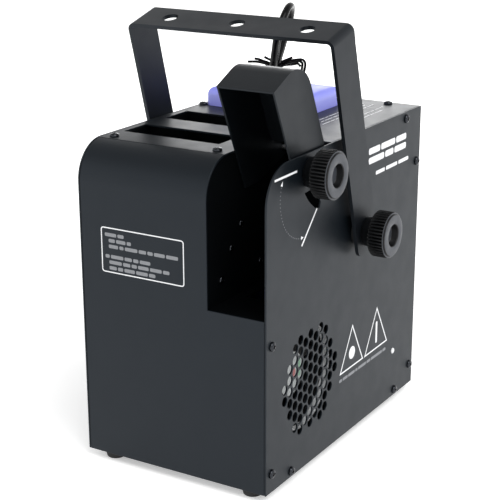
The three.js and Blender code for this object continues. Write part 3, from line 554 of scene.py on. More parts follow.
side_outlines = [housing_side_outline(), circle(*BRACKET_PIVOT, BRACKET_STUD_HOLE), clamp_slot()]
flat_piece("right_side_sheet", [*side_outlines, *grille_holes()], "x", (SIDE - SHEET, SIDE),
           PAINT, "black_paint", replaces=["right_side_panel"], smooth=FLAT_UP_TO, edge=0.25)

# ---- Clamp knobs ---------------------------------------------------------

FLUTES = 42
FLUTE_DEPTH = 2.0
FLUTE_NARROWNESS = 1.8
POINTS_PER_FLUTE = 10
KNOB_RADIUS = 19
FLUTES_ALONG = (10.6, 22.9)
KNOB_PROFILE = [
    (0, 12.5), (4.6, 12.5), (4.6, 0.4), (11.2, 0.4), (11.8, 1.0), (12.4, 8.6), (13.2, 9.0), (17.0, 9.1),
    (18.2, 9.5), (18.9, 10.2), (19, 11.0), (19, 16), (19, 22.6), (18.7, 23.1), (18.0, 23.3), (17.4, 23.2),
    (17.2, 23.5), (17.3, 24.0), (17.1, 24.4), (16.6, 24.6), (9.7, 24.6),
    (9.2, 24.3), (9.0, 23.8), (9.0, 19.3), (8.6, 18.7), (0, 18.6)]


def fluted(radius, along, angle):
    """The knob's grip: flat ridges along its rim, with narrow grooves as deep as FLUTE_DEPTH."""
    if radius < KNOB_RADIUS - 0.2 or not FLUTES_ALONG[0] < along < FLUTES_ALONG[1]:
        return radius
    return radius - FLUTE_DEPTH * (0.5 - 0.5 * math.cos(FLUTES * angle)) ** FLUTE_NARROWNESS


def clamp_knob(body, at, side):
    """A knob for the CAD node that has its body's name; side is 1 to the right and -1 to the left."""
    sides = FLUTES * POINTS_PER_FLUTE
    built_piece(body + "_fluted", lambda bm: lathe(bm, KNOB_PROFILE, "x", at, sides, fluted, side),
                KNOB, "knob_plastic", body, [body], RIDGED_UP_TO)


CLAMP_AT = (HOOD_PIVOT[0] - CLAMP_RADIUS * math.cos(math.radians(CLAMP_DROP)),
            HOOD_PIVOT[1] - CLAMP_RADIUS * math.sin(math.radians(CLAMP_DROP)))
clamp_knob("hood_knob", (SIDE, *CLAMP_AT), 1)
clamp_knob("bracket_knob_right", (BRACKET_HALF_SPAN, *BRACKET_PIVOT), 1)
clamp_knob("bracket_knob_left", (-BRACKET_HALF_SPAN, *BRACKET_PIVOT), -1)

# ---- Screws: pan heads with a cross recess -------------------------------

SCREW_PROFILE = [(0, 0.05), (3.7, 0.05), (3.8, 0.2), (3.8, 0.9), (3.55, 1.5), (2.9, 2.0), (1.9, 2.25)]
SCREW_SIDES = 32
CROSS_REACH, CROSS_HALF_WIDTH, CROSS_TOP, CROSS_FLOOR, CROSS_TAPER = 1.8, 0.48, 2.3, 0.9, 0.8
FIRST_TURN, TURN_STEP = 0.4, 1.3


def cross_outline(turn):
    """The screw's cross: two corners at each arm's end, and one between each two arms."""
    points = []
    half = CROSS_HALF_WIDTH
    for arm in range(4):
        along = turn + math.pi / 2 * arm
        across = along + math.pi / 4
        ca, sa = math.cos(along), math.sin(along)
        points.append((CROSS_REACH * ca + half * sa, CROSS_REACH * sa - half * ca))
        points.append((CROSS_REACH * ca - half * sa, CROSS_REACH * sa + half * ca))
        points.append((half * 1.5 * math.cos(across), half * 1.5 * math.sin(across)))
    return points


def pan_head(bm, axis, at, side, turn, size):
    """A domed head with a sunken cross."""
    lathe(bm, [(r * size, z * size) for r, z in SCREW_PROFILE], axis, at, SCREW_SIDES, None, side)
    stand = Matrix.Translation(Vector(at)) @ AXES[axis] @ Matrix.Scale(side, 4, (0, 0, 1))
    stand = stand @ Matrix.Scale(size, 4)
    cross = cross_outline(turn)
    rim_radius, rim_height = SCREW_PROFILE[-1]
    rim = [bm.verts.new(stand @ Vector((u, v, rim_height))) for u, v in circle(0, 0, rim_radius, SCREW_SIDES)]
    lip = [bm.verts.new(stand @ Vector((u, v, CROSS_TOP))) for u, v in cross]
    low = [bm.verts.new(stand @ Vector((u * CROSS_TAPER, v * CROSS_TAPER, CROSS_FLOOR))) for u, v in cross]
    edges = [
        bm.edges.new((ring[i], ring[(i + 1) % len(ring)])) for ring in (rim, lip) for i in range(len(ring))]
    bmesh.ops.triangle_fill(bm, use_beauty=True, edges=edges)
    for i in range(len(lip)):
        j = (i + 1) % len(lip)
        bm.faces.new((lip[i], lip[j], low[j], low[i]))
    bm.faces.new(low)


def screws(name, heads, axis, side=1, replaces=(), size=1.0):
    """Heads that face along an axis, each turned a little more than the one before."""
    def build(bm):
        for i, at in enumerate(heads):
            pan_head(bm, axis, at, side, FIRST_TURN + TURN_STEP * i, size)
    built_piece(name, build, SCREW_BLACK, "bright_steel", "housing", replaces, math.radians(30))


SIDE_SCREWS = [(-125, 122), (-125, 16), (-94, 5), (96, 5), (127, 19), (127, 212), (103, 254)]
TOP_SCREWS = [(-74, -99.3), (22.4, -99.3), (57, 126), (-81.2, 41.4)]
screws("screws_right", [(SIDE, y, z) for y, z in SIDE_SCREWS], "x",
       replaces=[f"side_screw_{i}" for i in range(1, 8)])
screws("screws_left", [(-SIDE, y, z) for y, z in SIDE_SCREWS], "x", -1)
screws("screws_top", [(x, y, HEIGHT) for x, y in TOP_SCREWS], "z", replaces=["top_screw_1", "top_screw_2"])

DUCT_WALL_X = 33.2
DUCT_SCREWS = [(-83.5, 200.5), (-98, 184), (-112.8, 162.3), (-54.1, 162)]
screws("screws_duct", [(DUCT_WALL_X, y, z) for y, z in DUCT_SCREWS], "x", size=0.8)
REAR_SCREWS = [(x, z) for x in (-76, 76) for z in (8, 130, 250)] + [(0, 250), (0, 8)]
screws("screws_rear", [(x, REAR, z) for x, z in REAR_SCREWS], "y")

# ---- Fluid tank ----------------------------------------------------------

TANK_LOW, TANK_HIGH = (-79.5, 41, 2.5), (21, 108, 275.5)
TANK_EDGE = 7
SEAM_INSET, SEAM_HALF_WIDTH = 11, 0.4
FILLER = (-24, 76)
# The filler's collar and neck, as (radius, height above the tank's top).
FILLER_NECK = [
    (0, -1), (15, -1), (15, 0.2), (14.6, 0.5), (10.9, 0.6), (10.3, 1.0), (10.3, 4.2), (9.8, 4.6), (0, 4.6)]


def tank_body(bm):
    """A rounded box with a low seam along its top, and the filler's neck."""
    left, front, _ = TANK_LOW
    right, rear, top = TANK_HIGH
    middle = (front + rear) / 2
    block(bm, TANK_LOW, TANK_HIGH, TANK_EDGE, 8)
    block(bm, (left + SEAM_INSET, middle - SEAM_HALF_WIDTH, top - 0.6),
          (right - SEAM_INSET, middle + SEAM_HALF_WIDTH, top + 0.25), 0.3)
    lathe(bm, FILLER_NECK, "z", (*FILLER, top))


built_piece("tank_shell", tank_body, TANK, "lilac_tank", "housing", ["fluid_tank"])


def ribbed(count, depth, between):
    """A radius rule for lathe: ribs along the axis, between two distances."""
    def rule(radius, along, angle):
        if not between[0] <= along <= between[1]:
            return radius
        return radius - depth * (0.5 - 0.5 * math.cos(count * angle))
    return rule


CAP_LOW = TANK_HIGH[2] + 0.4
CAP_PROFILE = [
    (0, 7.1), (10.7, 7.1), (10.7, 0), (12.6, 0), (13, 0.4), (13, 1.8), (13, 8.0), (12.4, 9.1), (11.4, 9.6),
    (8, 9.6), (7.4, 9.1), (0, 9.1)]
CAP_RIBS = ribbed(30, 0.5, (1, 8.4))
built_piece("filler_cap", lambda bm: lathe(bm, CAP_PROFILE, "z", (*FILLER, CAP_LOW), 240, CAP_RIBS),
            BLACK_PLASTIC, "black_plastic", "tank_cap", ["tank_cap"], RIDGED_UP_TO)

# ---- Feet ----------------------------------------------------------------

FOOT_PROFILE = [
    (0, -7), (6.6, -7), (7.3, -6.8), (7.8, -6.2), (8.9, -0.8), (8.8, -0.35), (8.2, -GAP), (0, -GAP)]
FOOT_FROM_SIDE, FOOT_FROM_END = 19, 12
for end, y in (("front", FRONT + FOOT_FROM_END), ("rear", REAR - FOOT_FROM_END)):
    for side, x in (("left", -SIDE + FOOT_FROM_SIDE), ("right", SIDE - FOOT_FROM_SIDE)):
        built_piece(f"rubber_foot_{end}_{side}", lambda bm: lathe(bm, FOOT_PROFILE, "z", (x, y, 0), 36),
                    FOOT_RUBBER, "black_rubber", "housing", [f"foot_{end}_{side}"])

# ---- Fan -----------------------------------------------------------------

ROTOR_X = FAN_INNER_X + ROTOR_FROM
BLADES, BLADE_THICKNESS, BLADE_CAMBER = 7, 1.1, 1.6
BLADE_ROOT = ROTOR_HUB - 0.5
BLADE_PITCH, BLADE_TWIST = 56, -22
BLADE_CHORD, BLADE_FLARE = 23, 4
BLADE_SWEEP, SWEEP_CURVE = 0.35, 1.3
SPANS, CHORDS = 6, 6


def blade_row(bm, start, out, lift):
    """One line of a blade's points across its chord, out of the way from its root to its tip."""
    radius = BLADE_ROOT + (ROTOR_TIP - BLADE_ROOT) * out
    pitch = math.radians(BLADE_PITCH + BLADE_TWIST * out)
    row = []
    for k in range(CHORDS + 1):
        across = k / CHORDS - 0.5
        reach = across * (BLADE_CHORD + BLADE_FLARE * out)
        along = reach * math.cos(pitch) + ROTOR_LENGTH / 2 + lift + BLADE_CAMBER * (1 - 4 * across ** 2)
        angle = start + reach * math.sin(pitch) / radius + BLADE_SWEEP * out ** SWEEP_CURVE
        row.append(bm.verts.new(Vector((
            ROTOR_X + min(max(along, 0.4), ROTOR_LENGTH - 0.4),
            FAN_CENTRE[0] + radius * math.sin(angle),
            FAN_CENTRE[1] + radius * math.cos(angle)))))
    return row


def fan_blade(bm, start):
    """A curved blade: two sheets that twist from root to tip, closed round their edges."""
    under, over = [
        [blade_row(bm, start, i / SPANS, side * BLADE_THICKNESS) for i in range(SPANS + 1)]
        for side in (-0.5, 0.5)]
    for i in range(SPANS):
        for k in range(CHORDS):
            for sheet in (under, over):
                bm.faces.new((sheet[i][k], sheet[i + 1][k], sheet[i + 1][k + 1], sheet[i][k + 1]))
    for i in range(SPANS):
        for k in (0, CHORDS):
            bm.faces.new((under[i][k], under[i + 1][k], over[i + 1][k], over[i][k]))
    for i in (0, SPANS):
        for k in range(CHORDS):
            bm.faces.new((under[i][k], under[i][k + 1], over[i][k + 1], over[i][k]))


def rotor(bm):
    radius, top = ROTOR_HUB, ROTOR_LENGTH
    hub = [(0, 0.2), (radius - 0.4, 0.2), (radius, 0.7), (radius, top - 0.8), (radius - 0.6, top - 0.2),
           (radius - 1.2, top), (radius - 1.5, top - 0.3), (0, top - 0.3)]
    lathe(bm, hub, "x", (ROTOR_X, *FAN_CENTRE))
    for blade in range(BLADES):
        fan_blade(bm, 2 * math.pi * blade / BLADES)


built_piece("fan_impeller", rotor, FAN_BLACK, "black_plastic", "fan", ["fan_rotor"])
HUB_FACE = ROTOR_X + ROTOR_LENGTH - 0.3
HUB_LABEL = (HUB_FACE - 0.05, HUB_FACE + 0.2)
HUB_PRINT = (HUB_LABEL[1], HUB_LABEL[1] + 0.06)
HUB_Y, HUB_Z = FAN_CENTRE
flat_piece("fan_hub_disc", [circle(HUB_Y, HUB_Z, ROTOR_HUB - 1.7, 48)], "x", HUB_LABEL,
           STICKER, "bright_steel", "fan", edge=0.05)
flat_piece("fan_hub_dot", [circle(HUB_Y + 3, HUB_Z, 4)], "x", HUB_PRINT, LABEL_RED, "black_plastic", "fan")
flat_piece("fan_hub_band", [rounded_rectangle(HUB_Y + 8, HUB_Y + 15, HUB_Z - 6, HUB_Z + 9, 1)],
           "x", HUB_PRINT, LABEL_GREEN, "green_board", "fan")

# A white plastic pin in the right side.
PIN_AT = (SIDE, 90, 45)
PIN_PROFILE = [(0, -0.5), (2.5, -0.5), (2.5, 0.5), (2.2, 1.0), (1.3, 1.3), (0, 1.35)]
built_piece("white_pin", lambda bm: lathe(bm, PIN_PROFILE, "x", PIN_AT, 32), WHITE_PLASTIC, "black_plastic")

# ---- Prints: marks, warning triangles and plain bars for wording ---------

INK_DEPTH, INK_SUNK = 0.06, 0.02
RIGHT_FACE = (SIDE - INK_SUNK, SIDE + INK_DEPTH)
FRONT_FACE = (FRONT - INK_DEPTH, FRONT + INK_SUNK)
TOP_FACE = (HEIGHT - INK_SUNK, HEIGHT + INK_DEPTH)
REAR_FACE = (REAR - INK_SUNK, REAR + INK_DEPTH)


def prints(name, outlines, plane, face, ink=INK):
    flat_piece(name, outlines, plane, face, ink, "black_paint")


def bars(u0, u1, v, height, widths, gap=1.2):
    """One line of plain bars of given widths, in place of words, as far as it fits."""
    outlines = []
    u = u0
    for width in widths:
        if u + width > u1:
            break
        outlines.append(rounded_rectangle(u, u + width, v, v + height, height * 0.3, 2))
        u += width + gap
    return outlines


def triangle(apex, left, right, width):
    """The outline of a triangle, as an outer and an inner ring."""
    corners = [Vector(p) for p in (apex, left, right)]
    sides = [(corners[i] - corners[i - 1]).length for i in range(3)]
    area = abs((corners[1] - corners[0]).cross(corners[2] - corners[0])) / 2
    inradius = 2 * area / sum(sides)
    opposite = (sides[2], sides[0], sides[1])
    incentre = sum((c * length for c, length in zip(corners, opposite)), Vector((0, 0))) / sum(sides)
    shrink = 1 - width / inradius
    inner = [incentre + (c - incentre) * shrink for c in corners]
    return [[tuple(c) for c in corners], [tuple(c) for c in inner]]


def ring(u0, u1, v0, v1, radius, width):
    """A rounded rectangular frame, as its outer and inner outlines."""
    return [rounded_rectangle(u0, u1, v0, v1, radius),
            rounded_rectangle(u0 + width, u1 - width, v0 + width, v1 - width, max(0.4, radius - width))]


# The hood's swing: a line at each end, and a dotted arc with an arrowhead at each end between them.
ARC_CENTRE, ARC_RADIUS = (-77.6, 231.5), 36
ARC_FROM, ARC_TO, ARC_CLEAR = 157, 268, 6
DOTS, DOT_RADIUS = 22, 0.42
MARK_WIDTH = 1.7
ARROW_DEGREES, ARROW_HALF_WIDTH = 6, 1.5
TRIANGLE_WIDTH = 1.3


def arrowhead(at_degrees, towards):
    """A small solid arrowhead on the arc, pointing along it."""
    base, tip = arc(ARC_CENTRE, ARC_RADIUS, at_degrees - towards * ARROW_DEGREES, at_degrees, 2)
    along = Vector((tip[0] - base[0], tip[1] - base[1]))
    across = Vector((-along.y, along.x)).normalized() * ARROW_HALF_WIDTH
    return [tip, (base[0] + across.x, base[1] + across.y), (base[0] - across.x, base[1] - across.y)]


side_prints = [
    stroke([(-121.9, 249.4), (-88.6, 249.6)], MARK_WIDTH),
    stroke([(-56.5, 213.2), (-80.3, 189.1)], MARK_WIDTH),
    arrowhead(ARC_FROM - 2, -1),
    arrowhead(ARC_TO + 2, 1),
    *triangle((9.4, 96.4), (-12.6, 57.6), (30.9, 58.0), TRIANGLE_WIDTH),
    *triangle((55.9, 97.4), (33.0, 58.0), (78.2, 58.8), TRIANGLE_WIDTH),
    circle(9.4, 71, 5.6),
    rounded_rectangle(54.3, 57.5, 64, 84, 1.5),
]
dots = arc(ARC_CENTRE, ARC_RADIUS, ARC_FROM + ARC_CLEAR, ARC_TO - ARC_CLEAR, DOTS)
fine_prints = bars(-13, 78, 50.8, 2.6, [5, 9, 12, 4, 15, 7, 22, 6])
fine_prints += [circle(u, v, DOT_RADIUS, 10) for u, v in dots]
name_bars = [
    *bars(32, 104, 236.5, 5.4, [21, 27, 20], 2),
    *bars(32, 104, 228.5, 5.4, [29, 16, 23], 2),
    *bars(46, 112, 217, 3.2, [17, 22, 20], 2.4),
]
prints("side_fine_prints", fine_prints, "x", RIGHT_FACE, INK_FAINT)
prints("side_prints", side_prints, "x", RIGHT_FACE)
prints("side_plain_bars", name_bars, "x", RIGHT_FACE)

# The front's label: a frame round lines of bars, each line as (height, length).
LABEL = (-64.7, 13.1, 158.9, 196)
LABEL_FRAME = 0.9
LABEL_LINES = [(188.6, 24), (183.9, 32), (179.2, 70), (170.9, 52), (166.2, 62), (161.5, 52)]
HEADING_INDENT, LINE_INDENT = -61, -57.5
WORD_WIDTHS = [11, 6, 9, 4, 12, 7, 5, 10]
label_bars = []
for line, (v, reach) in enumerate(LABEL_LINES):
    indent = HEADING_INDENT if line % 3 == 0 else LINE_INDENT
    label_bars += bars(indent, indent + reach, v, 2.9, WORD_WIDTHS[line:] + WORD_WIDTHS[:line])
label_frame = [
    rounded_rectangle(*LABEL, 2.4),
    rounded_rectangle(LABEL[0] + LABEL_FRAME, LABEL[1] - LABEL_FRAME,
                      LABEL[2] + LABEL_FRAME, LABEL[3] - LABEL_FRAME, 1.6)]
prints("front_fine_prints", label_bars, "y", FRONT_FACE, INK_FAINT)
prints("front_prints", label_frame, "y", FRONT_FACE)

# Fine plain lines on the top, beside the tank, each as (x, front end, rear end).
TOP_LINES = [(36.6, 36, 124), (41.6, 30, 112), (47.1, 22, 118), (58.2, 62, 117), (64.1, 58, 100)]
TOP_WIDTHS = [9, 5, 13, 7, 4, 11, 6, 15, 8, 5]
top_bars = []
for line, (x, y0, y1) in enumerate(TOP_LINES):
    lengths = TOP_WIDTHS[line:] + [12, 7, 9]
    top_bars += [[(u, v) for v, u in bar] for bar in bars(y0, y1, x, 0.9, lengths, 1.6)]
prints("top_fine_prints", top_bars, "z", TOP_FACE)

# ---- Back panel: prints, display segments, socket screws, fuse cap -------

BUTTON_XS, BUTTON_Z = (-12, 6, 24, 42), 193
ARROW_TURNS = (180, 90, 270, 0)
FRAME_RADIUS, FRAME_WIDTH = 4, 0.8
rear_prints = [
    *ring(-24, 54, 182, 240, FRAME_RADIUS, FRAME_WIDTH),
    *ring(-26, 54, 122, 167, FRAME_RADIUS, FRAME_WIDTH),
    *ring(-26, 6, 70, 106, FRAME_RADIUS, FRAME_WIDTH),
    *bars(-6, 50, 243, 3, [14, 9, 11, 6]),
    *bars(-20, 4, 161, 2.4, [8, 10]),
    *bars(28, 50, 161, 2.4, [7, 9]),
    *bars(14, 40, 103, 2.4, [6, 5, 8]),
    *bars(36, 70, 62, 2.4, [9, 5, 10]),
    *[circle(x, BUTTON_Z - 7.5, 1.5, 3, math.radians(turn)) for x, turn in zip(BUTTON_XS, ARROW_TURNS)],
]
prints("rear_prints", rear_prints, "y", REAR_FACE)

DISPLAY_X, DISPLAY_Z, DISPLAY_WIDTH = 15, 222, 62
DISPLAY_LEFT, DISPLAY_RIGHT = DISPLAY_X - DISPLAY_WIDTH / 2, DISPLAY_X + DISPLAY_WIDTH / 2
SCREEN_FACE = REAR + 0.8
LEVELS, LEVEL_PITCH, LEVEL_RISE = 11, 4.6, 1.1
levels = []
for i in range(LEVELS):
    level_left = DISPLAY_LEFT + 6 + LEVEL_PITCH * i
    levels.append(rounded_rectangle(level_left, level_left + 3, 214.5, 216.5 + LEVEL_RISE * i, 0.4, 2))
levels.append(rounded_rectangle(DISPLAY_LEFT + 6, DISPLAY_LEFT + 34, 229, 230.4, 0.4, 2))
flat_piece("screen_levels", levels, "y", (SCREEN_FACE - INK_SUNK, SCREEN_FACE + 0.05), GLOW, "dark_glass")
BEZEL_PAST, BEZEL_HALF_HEIGHT, BEZEL_THICKNESS = 2.5, 14.5, 1.6
bezel = ring(DISPLAY_LEFT - BEZEL_PAST, DISPLAY_RIGHT + BEZEL_PAST,
             DISPLAY_Z - BEZEL_HALF_HEIGHT, DISPLAY_Z + BEZEL_HALF_HEIGHT, 2.5, 2.6)
flat_piece("display_bezel", bezel, "y", (REAR, REAR + BEZEL_THICKNESS), BLACK_PLASTIC, "black_plastic",
           smooth=FLAT_UP_TO, edge=0.3)

SOCKET_XS, SOCKET_Z, SOCKET_FACE = (-10, 38), 142, REAR + 2.1
screws("socket_screws",
       [(x + s * 9.6, SOCKET_FACE, SOCKET_Z - s * 12) for x in SOCKET_XS for s in (-1, 1)], "y", size=0.66)

FUSE_X, FUSE_Z = 24, 88
FUSE_PROFILE = [
    (0, -18), (4.6, -18), (4.6, 3.4), (6.9, 3.4), (7.2, 3.8), (7.2, 5), (7.2, 8.6), (6.9, 9.2), (6.2, 9.6),
    (5.2, 9.6), (5, 9.1), (0, 9.1)]


def fuse_top(bm):
    """A ribbed cap with a bar across it to turn it by."""
    lathe(bm, FUSE_PROFILE, "y", (FUSE_X, REAR, FUSE_Z), 144, ribbed(18, 0.5, (4.9, 8.7)))
    block(bm, (FUSE_X - 4.9, REAR + 8.8, FUSE_Z - 0.9), (FUSE_X + 4.9, REAR + 10, FUSE_Z + 0.9), 0.3)


built_piece("fuse_top", fuse_top, BLACK_PLASTIC, "black_plastic", "fuse_cap", ["fuse_cap"], RIDGED_UP_TO)

# ---- Mains lead, from the gland to the plug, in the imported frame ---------

HANK_X, HANK_Y, HANK_BOTTOM, HANK_HEIGHT = -92.5, 160, 0.2, 343
HANK_HALF_WIDTH, HANK_WAIST, HANK_WAIST_Z, HANK_WAIST_SPREAD = 30.4, 13.8, 276, 25
HANK_TURN = math.radians(-71)
LEAN_FROM, LEAN = 170, 0.00097
RUN_BEND = 27
FOLD_STEPS, UPRIGHT_STEPS = 12, 22
CORD_RADIUS = CORD_DIAMETER / 2
CORD_Z = HANK_BOTTOM + CORD_RADIUS
OUTER_RUN = HANK_HALF_WIDTH - CORD_RADIUS
PLUG_AT = (-30, 192.5, 19)


def hank_lean(z):
    """How far the hank's top leans to the right."""
    return LEAN * max(0, z - LEAN_FROM) ** 2


def hank_point(u, v, z):
    """A point of the hank: u is across its flat side, and v is out of it."""
    return Vector((
        HANK_X + u * math.cos(HANK_TURN) - v * math.sin(HANK_TURN) + hank_lean(z),
        HANK_Y + u * math.sin(HANK_TURN) + v * math.cos(HANK_TURN), z))


def run_offset(z, inset):
    """How far a run stands from the hank's middle: less at the waist, where it is tied."""
    dip = math.exp(-(((z - HANK_WAIST_Z) / HANK_WAIST_SPREAD) ** 2))
    return HANK_HALF_WIDTH - (HANK_HALF_WIDTH - HANK_WAIST) * dip - inset


def run_foot(u, degrees):
    """The bend between the floor and a run."""
    points = []
    for angle in map(math.radians, degrees):
        height = CORD_Z + RUN_BEND * (1 - math.cos(angle))
        points.append(hank_point(u, RUN_BEND * (1 - math.sin(angle)), height))
    return points


def upright(side, inset, start, end):
    """One run, from one height to another."""
    points = []
    for i in range(1, UPRIGHT_STEPS):
        z = start + (end - start) * i / UPRIGHT_STEPS
        points.append(hank_point(side * run_offset(z, inset), 0, z))
    return points


def fold(centre, radii, from_degrees, to_degrees):
    """The bend that joins two runs."""
    points = []
    for i in range(FOLD_STEPS + 1):
        angle = math.radians(from_degrees + (to_degrees - from_degrees) * i / FOLD_STEPS)
        u = centre[0] + radii[0] * math.cos(angle)
        points.append(hank_point(u, 0, centre[1] + radii[1] * math.sin(angle)))
    return points


FOOT_TOP = CORD_Z + RUN_BEND
OUTER_TOP = HANK_BOTTOM + HANK_HEIGHT - CORD_RADIUS - RUN_BEND
INNER_INSET = CORD_RADIUS + CORD_DIAMETER
INNER_TOP, INNER_FOLD = 307, 17.3
LEAD_POINTS = [
    (50, 152.8, 52), (50, 160, 51.6), (49.5, 168, 48), (47.5, 173, 40), (44, 174.5, 30), (39, 173.5, 19),
    (32, 171.5, 9.5), (23, 169.5, 4.8), (11, 167.5, CORD_Z), (-2, 165.3, CORD_Z), (-16, 162, CORD_Z),
    (-30, 157.2, CORD_Z), (-43.5, 151, CORD_Z)]
TAIL_POINTS = [
    (-66, 190.7, 4.4), (-59, 192.3, 7.6), (-51, 192.5, 12.4), (-42, 192.5, 17), (-36, 192.5, 19), PLUG_AT]
FOOT_ANGLES = [0, 16, 32, 46, 60, 75]
cord_points = [
    *map(Vector, LEAD_POINTS),
    *run_foot(OUTER_RUN, FOOT_ANGLES),
    *upright(1, CORD_RADIUS, FOOT_TOP - 4, OUTER_TOP),
    *fold((0, OUTER_TOP), (RUN_BEND, RUN_BEND), 0, 180),
    *upright(-1, CORD_RADIUS, OUTER_TOP, FOOT_TOP),
    *fold((-CORD_RADIUS, FOOT_TOP), (RUN_BEND - CORD_RADIUS, RUN_BEND), 180, 360),
    *upright(1, INNER_INSET, FOOT_TOP, INNER_TOP),
    *fold((0, INNER_TOP), (INNER_FOLD, INNER_FOLD), 0, 180),
    *upright(-1, INNER_INSET, INNER_TOP, FOOT_TOP - 4),
    *run_foot(-OUTER_RUN + CORD_DIAMETER, FOOT_ANGLES[::-1]),
    *map(Vector, TAIL_POINTS)]


def smooth_line(points, step):
    """Points a step apart on a Catmull-Rom line through the given ones."""
    ends = [points[0] * 2 - points[1], *points, points[-1] * 2 - points[-2]]
    line = []
    for a, b, c, d in zip(ends, ends[1:], ends[2:], ends[3:]):
        count = max(1, round((c - b).length / step))
        for i in range(count):
            s = i / count
            line.append(0.5 * (2 * b + (c - a) * s + (2 * a - 5 * b + 4 * c - d) * s * s
                               + (3 * b - a - 3 * c + d) * s ** 3))
    line.append(points[-1])
    return line


def strand(name, lines, radius, material):
    """Round strands through given lines of points, as one curve object."""
    curve = bpy.data.curves.new(name, "CURVE")
    curve.dimensions = "3D"
    curve.bevel_depth = radius * MM
    curve.bevel_resolution = 5
    curve.use_fill_caps = True
    for line in lines:
        spline = curve.splines.new("POLY")
        spline.points.add(len(line) - 1)
        spline.points.foreach_set("co", [c for p in line for c in (*(p * MM), 1)])
        spline.use_smooth = True
    curve.materials.append(material)
    piece = link(bpy.data.objects.new(name, curve))
    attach(piece, "housing")
    return piece


CORD_STEP, TIE_STEP = 2.5, 1.2
lead = strand("mains_lead", [smooth_line(cord_points, CORD_STEP)], CORD_RADIUS, JACKET)
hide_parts("mains_cord", "cord_hank", "cord_tail")

# The tie: a thin strand wound round the waist, with loose ends spread to both sides.
TIE_RADIUS, TIE_Z, TIE_CLEAR = 1.25, 276, 0.2
TIE_TURNS, TIE_PITCH, POINTS_PER_TURN = 3, 3.1, 28
SPREAD_ALONG, SPREAD_ACROSS = 0.86, 0.51


def beside(s, z, back):
    """A point beside the hank, s along the level line that the loose ends spread on."""
    return Vector((
        HANK_X + hank_lean(z) + SPREAD_ALONG * s - SPREAD_ACROSS * back,
        HANK_Y + SPREAD_ACROSS * s + SPREAD_ALONG * back, z))


def squared(value, power):
    """A sine or cosine pushed towards -1 and 1, which squares a circle's corners."""
    return math.copysign(abs(value) ** power, value)


winding = []
for i in range(TIE_TURNS * POINTS_PER_TURN + 1):
    angle = 2 * math.pi * i / POINTS_PER_TURN
    u = (HANK_WAIST + TIE_RADIUS + TIE_CLEAR) * squared(math.cos(angle), 0.45)
    v = (CORD_RADIUS + TIE_RADIUS + TIE_CLEAR) * squared(math.sin(angle), 0.75)
    winding.append(hank_point(u, v, TIE_Z - 3.2 + TIE_PITCH * i / POINTS_PER_TURN))

# The loose ends, each as (distance along the spread, height) points.
LOOSE_ENDS = [
    [(-3.7, 283.6), (-7.4, 284.4), (-12.7, 285.6), (-19, 286.7), (-26.7, 286.7)],
    [(-3.7, 284.1), (-7.4, 285.6), (-12.2, 287.1), (-16.9, 288.8), (-21, 289.4)],
    [(-3.7, 287.1), (-6.3, 288.2), (-9.5, 289.7), (-11.9, 290.8)],
    [(-4.5, 281.5), (-9, 283.5), (-13.5, 287.4)],
    [(4.8, 286), (8.5, 288), (11.7, 289.4), (14.8, 290.8)],
    [(3.7, 283.4), (7.4, 285.8), (12.7, 286.9), (16.9, 288), (23.3, 288.6), (26.5, 287.1), (28.4, 283.6),
     (28.6, 279.1), (28.4, 270)],
    [(3.7, 282.4), (7.4, 284.4), (14.8, 285.6), (21.2, 286.7), (24.3, 285.6), (25.8, 283), (26, 272)],
    [(3.7, 280.9), (10.6, 282.7), (16.9, 283.1), (21.2, 284), (24.3, 281.3)],
    [(5.3, 281.4), (9.5, 284.6), (12.7, 286), (18, 284.9)],
]
tie_lines = [winding]
for i, line in enumerate(LOOSE_ENDS):
    tie_lines.append([beside(s, z, -2 + 1.5 * (i % 4)) for s, z in line])
tie_lines = [smooth_line(line, TIE_STEP) for line in tie_lines]
tie = strand("tie_strands", tie_lines, TIE_RADIUS, JACKET)
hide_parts("hank_tie")

PLUG_PROFILE = [
    (0, 0.4), (4.3, 0.4), (4.9, 1.0), (5.2, 3), (6.3, 9), (7.2, 14), (8.6, 16.2), (12, 18.4), (16.6, 22.6),
    (18.1, 25.4), (18.6, 29), (18.6, 44.6), (18.1, 45.7), (17.2, 46), (0, 46)]
PIN_SPREAD = 9.5
PLUG_PIN = [(0, 45), (2.4, 45), (2.4, 63.6), (1.9, 64.6), (0, 65)]


def grooved(depth, between, pace, above):
    """A radius rule for lathe: rings cut round the axis, where a wave of this pace is above a level."""
    def rule(radius, along, angle):
        cut = between[0] < along < between[1] and math.cos(pace * along) > above
        return radius - depth if cut else radius
    return rule


def plug_shell(bm):
    at = Vector(PLUG_AT) - HOUSING_SHIFT
    lathe(bm, PLUG_PROFILE, "x", at, 64, grooved(0.45, (4, 13), 1.9, 0.2))
    for side in (-PIN_SPREAD, PIN_SPREAD):
        lathe(bm, PLUG_PIN, "x", at + Vector((0, side, 0)), 20)


plug = built_piece("plug", plug_shell, BLACK_PLASTIC, "black_plastic", "housing", ["mains_plug"])

GLAND_AT = (50, REAR, 45)
GLAND_PROFILE = [
    (3.7, -6), (7.7, -6), (7.7, 0.3), (10, 0.3), (10.5, 0.8), (10.5, 6.6), (10, 7.1), (7.3, 8.9),
    *[(6.9 - 0.16 * i, 9.2 + 0.9 * i) for i in range(16)],
    (4.5, 24), (3.6, 24), (3.7, -6)]
GLAND_RINGS = grooved(0.55, (9.5, 23), 2.3, 0)
gland = built_piece("strain_relief", lambda bm: lathe(bm, GLAND_PROFILE, "y", GLAND_AT, 48, GLAND_RINGS),
                    BLACK_PLASTIC, "black_plastic", "housing", ["cable_gland"], math.radians(40))

# ---- Stage ---------------------------------------------------------------

CAMERA_AT = Vector((0.5646, -0.9561, 0.5082))
CAMERA_LOOK = Vector((-0.4839, 0.8152, -0.3182))

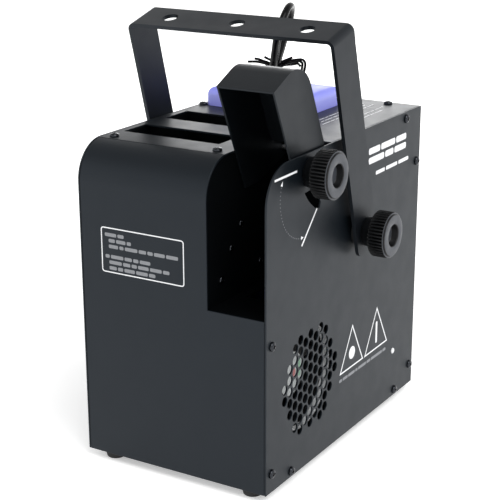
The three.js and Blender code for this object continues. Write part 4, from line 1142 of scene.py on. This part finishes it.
camera = link(bpy.data.objects.new("camera", bpy.data.cameras.new("camera")))
camera.data.sensor_width = 36
camera.data.lens = 98.36
camera.data.shift_x = -0.0181
camera.data.shift_y = 0.0454
camera.location = CAMERA_AT
camera.rotation_euler = CAMERA_LOOK.to_track_quat("-Z", "Y").to_euler()
bpy.context.scene.camera = camera


def area_light(name, at, aim, size, power):
    light = bpy.data.lights.new(name, "AREA")
    light.shape = "DISK"
    light.size = size
    light.energy = power
    lamp = link(bpy.data.objects.new(name, light))
    lamp.location = at
    lamp.rotation_euler = (Vector(aim) - Vector(at)).to_track_quat("-Z", "Y").to_euler()


area_light("fill", (-1.4, -1.2, 0.9), (0, 0, 0.15), size=1.4, power=1.0)
area_light("back", (-0.9, 1.9, 0.5), (0, 0.05, 0.27), size=0.9, power=9)

TOWARDS_KEY = Vector((0.9, -0.45, 1.3))
key = bpy.data.lights.new("key", "SUN")
key.angle = math.radians(40)
key.energy = 1.7
key_lamp = link(bpy.data.objects.new("key", key))
key_lamp.rotation_euler = TOWARDS_KEY.to_track_quat("Z", "Y").to_euler()

# The studio is white round the horizon and darker overhead.
world = bpy.data.worlds.new("studio")
world.use_nodes = True
world_nodes, world_links = world.node_tree.nodes, world.node_tree.links
direction = world_nodes.new("ShaderNodeSeparateXYZ")
world_links.new(world_nodes.new("ShaderNodeTexCoord").outputs["Generated"], direction.inputs["Vector"])
overhead = world_nodes.new("ShaderNodeMapRange")
overhead.interpolation_type = "SMOOTHSTEP"
overhead.inputs["From Min"].default_value = 0.3
overhead.inputs["From Max"].default_value = 0.8
overhead.inputs["To Min"].default_value = 1.05
overhead.inputs["To Max"].default_value = 0.42
world_links.new(direction.outputs["Z"], overhead.inputs["Value"])
world_links.new(overhead.outputs["Result"], world_nodes["Background"].inputs["Strength"])
world_nodes["Background"].inputs["Color"].default_value = (1, 1, 1, 1)
bpy.context.scene.world = world
bpy.context.scene.view_settings.view_transform = "Standard"

FLOOR_HALF_WIDTH = 6000
FLOOR_WHITE = (0.9, 0.9, 0.9, 1)


def floor_sheet(bm):
    down = Matrix.Translation((0, 0, -HOUSING_SHIFT.z))
    bmesh.ops.create_grid(bm, x_segments=1, y_segments=1, size=FLOOR_HALF_WIDTH, matrix=down)


floor = link(bpy.data.objects.new("floor", mesh_from("floor", floor_sheet)))
floor_paper = Shader("floor_paper", FLOOR_WHITE, 0.9, Emission_Strength=0.38)
floor.data.materials.append(mottled(floor_paper, FLOOR_WHITE, 3, 0.01).material)
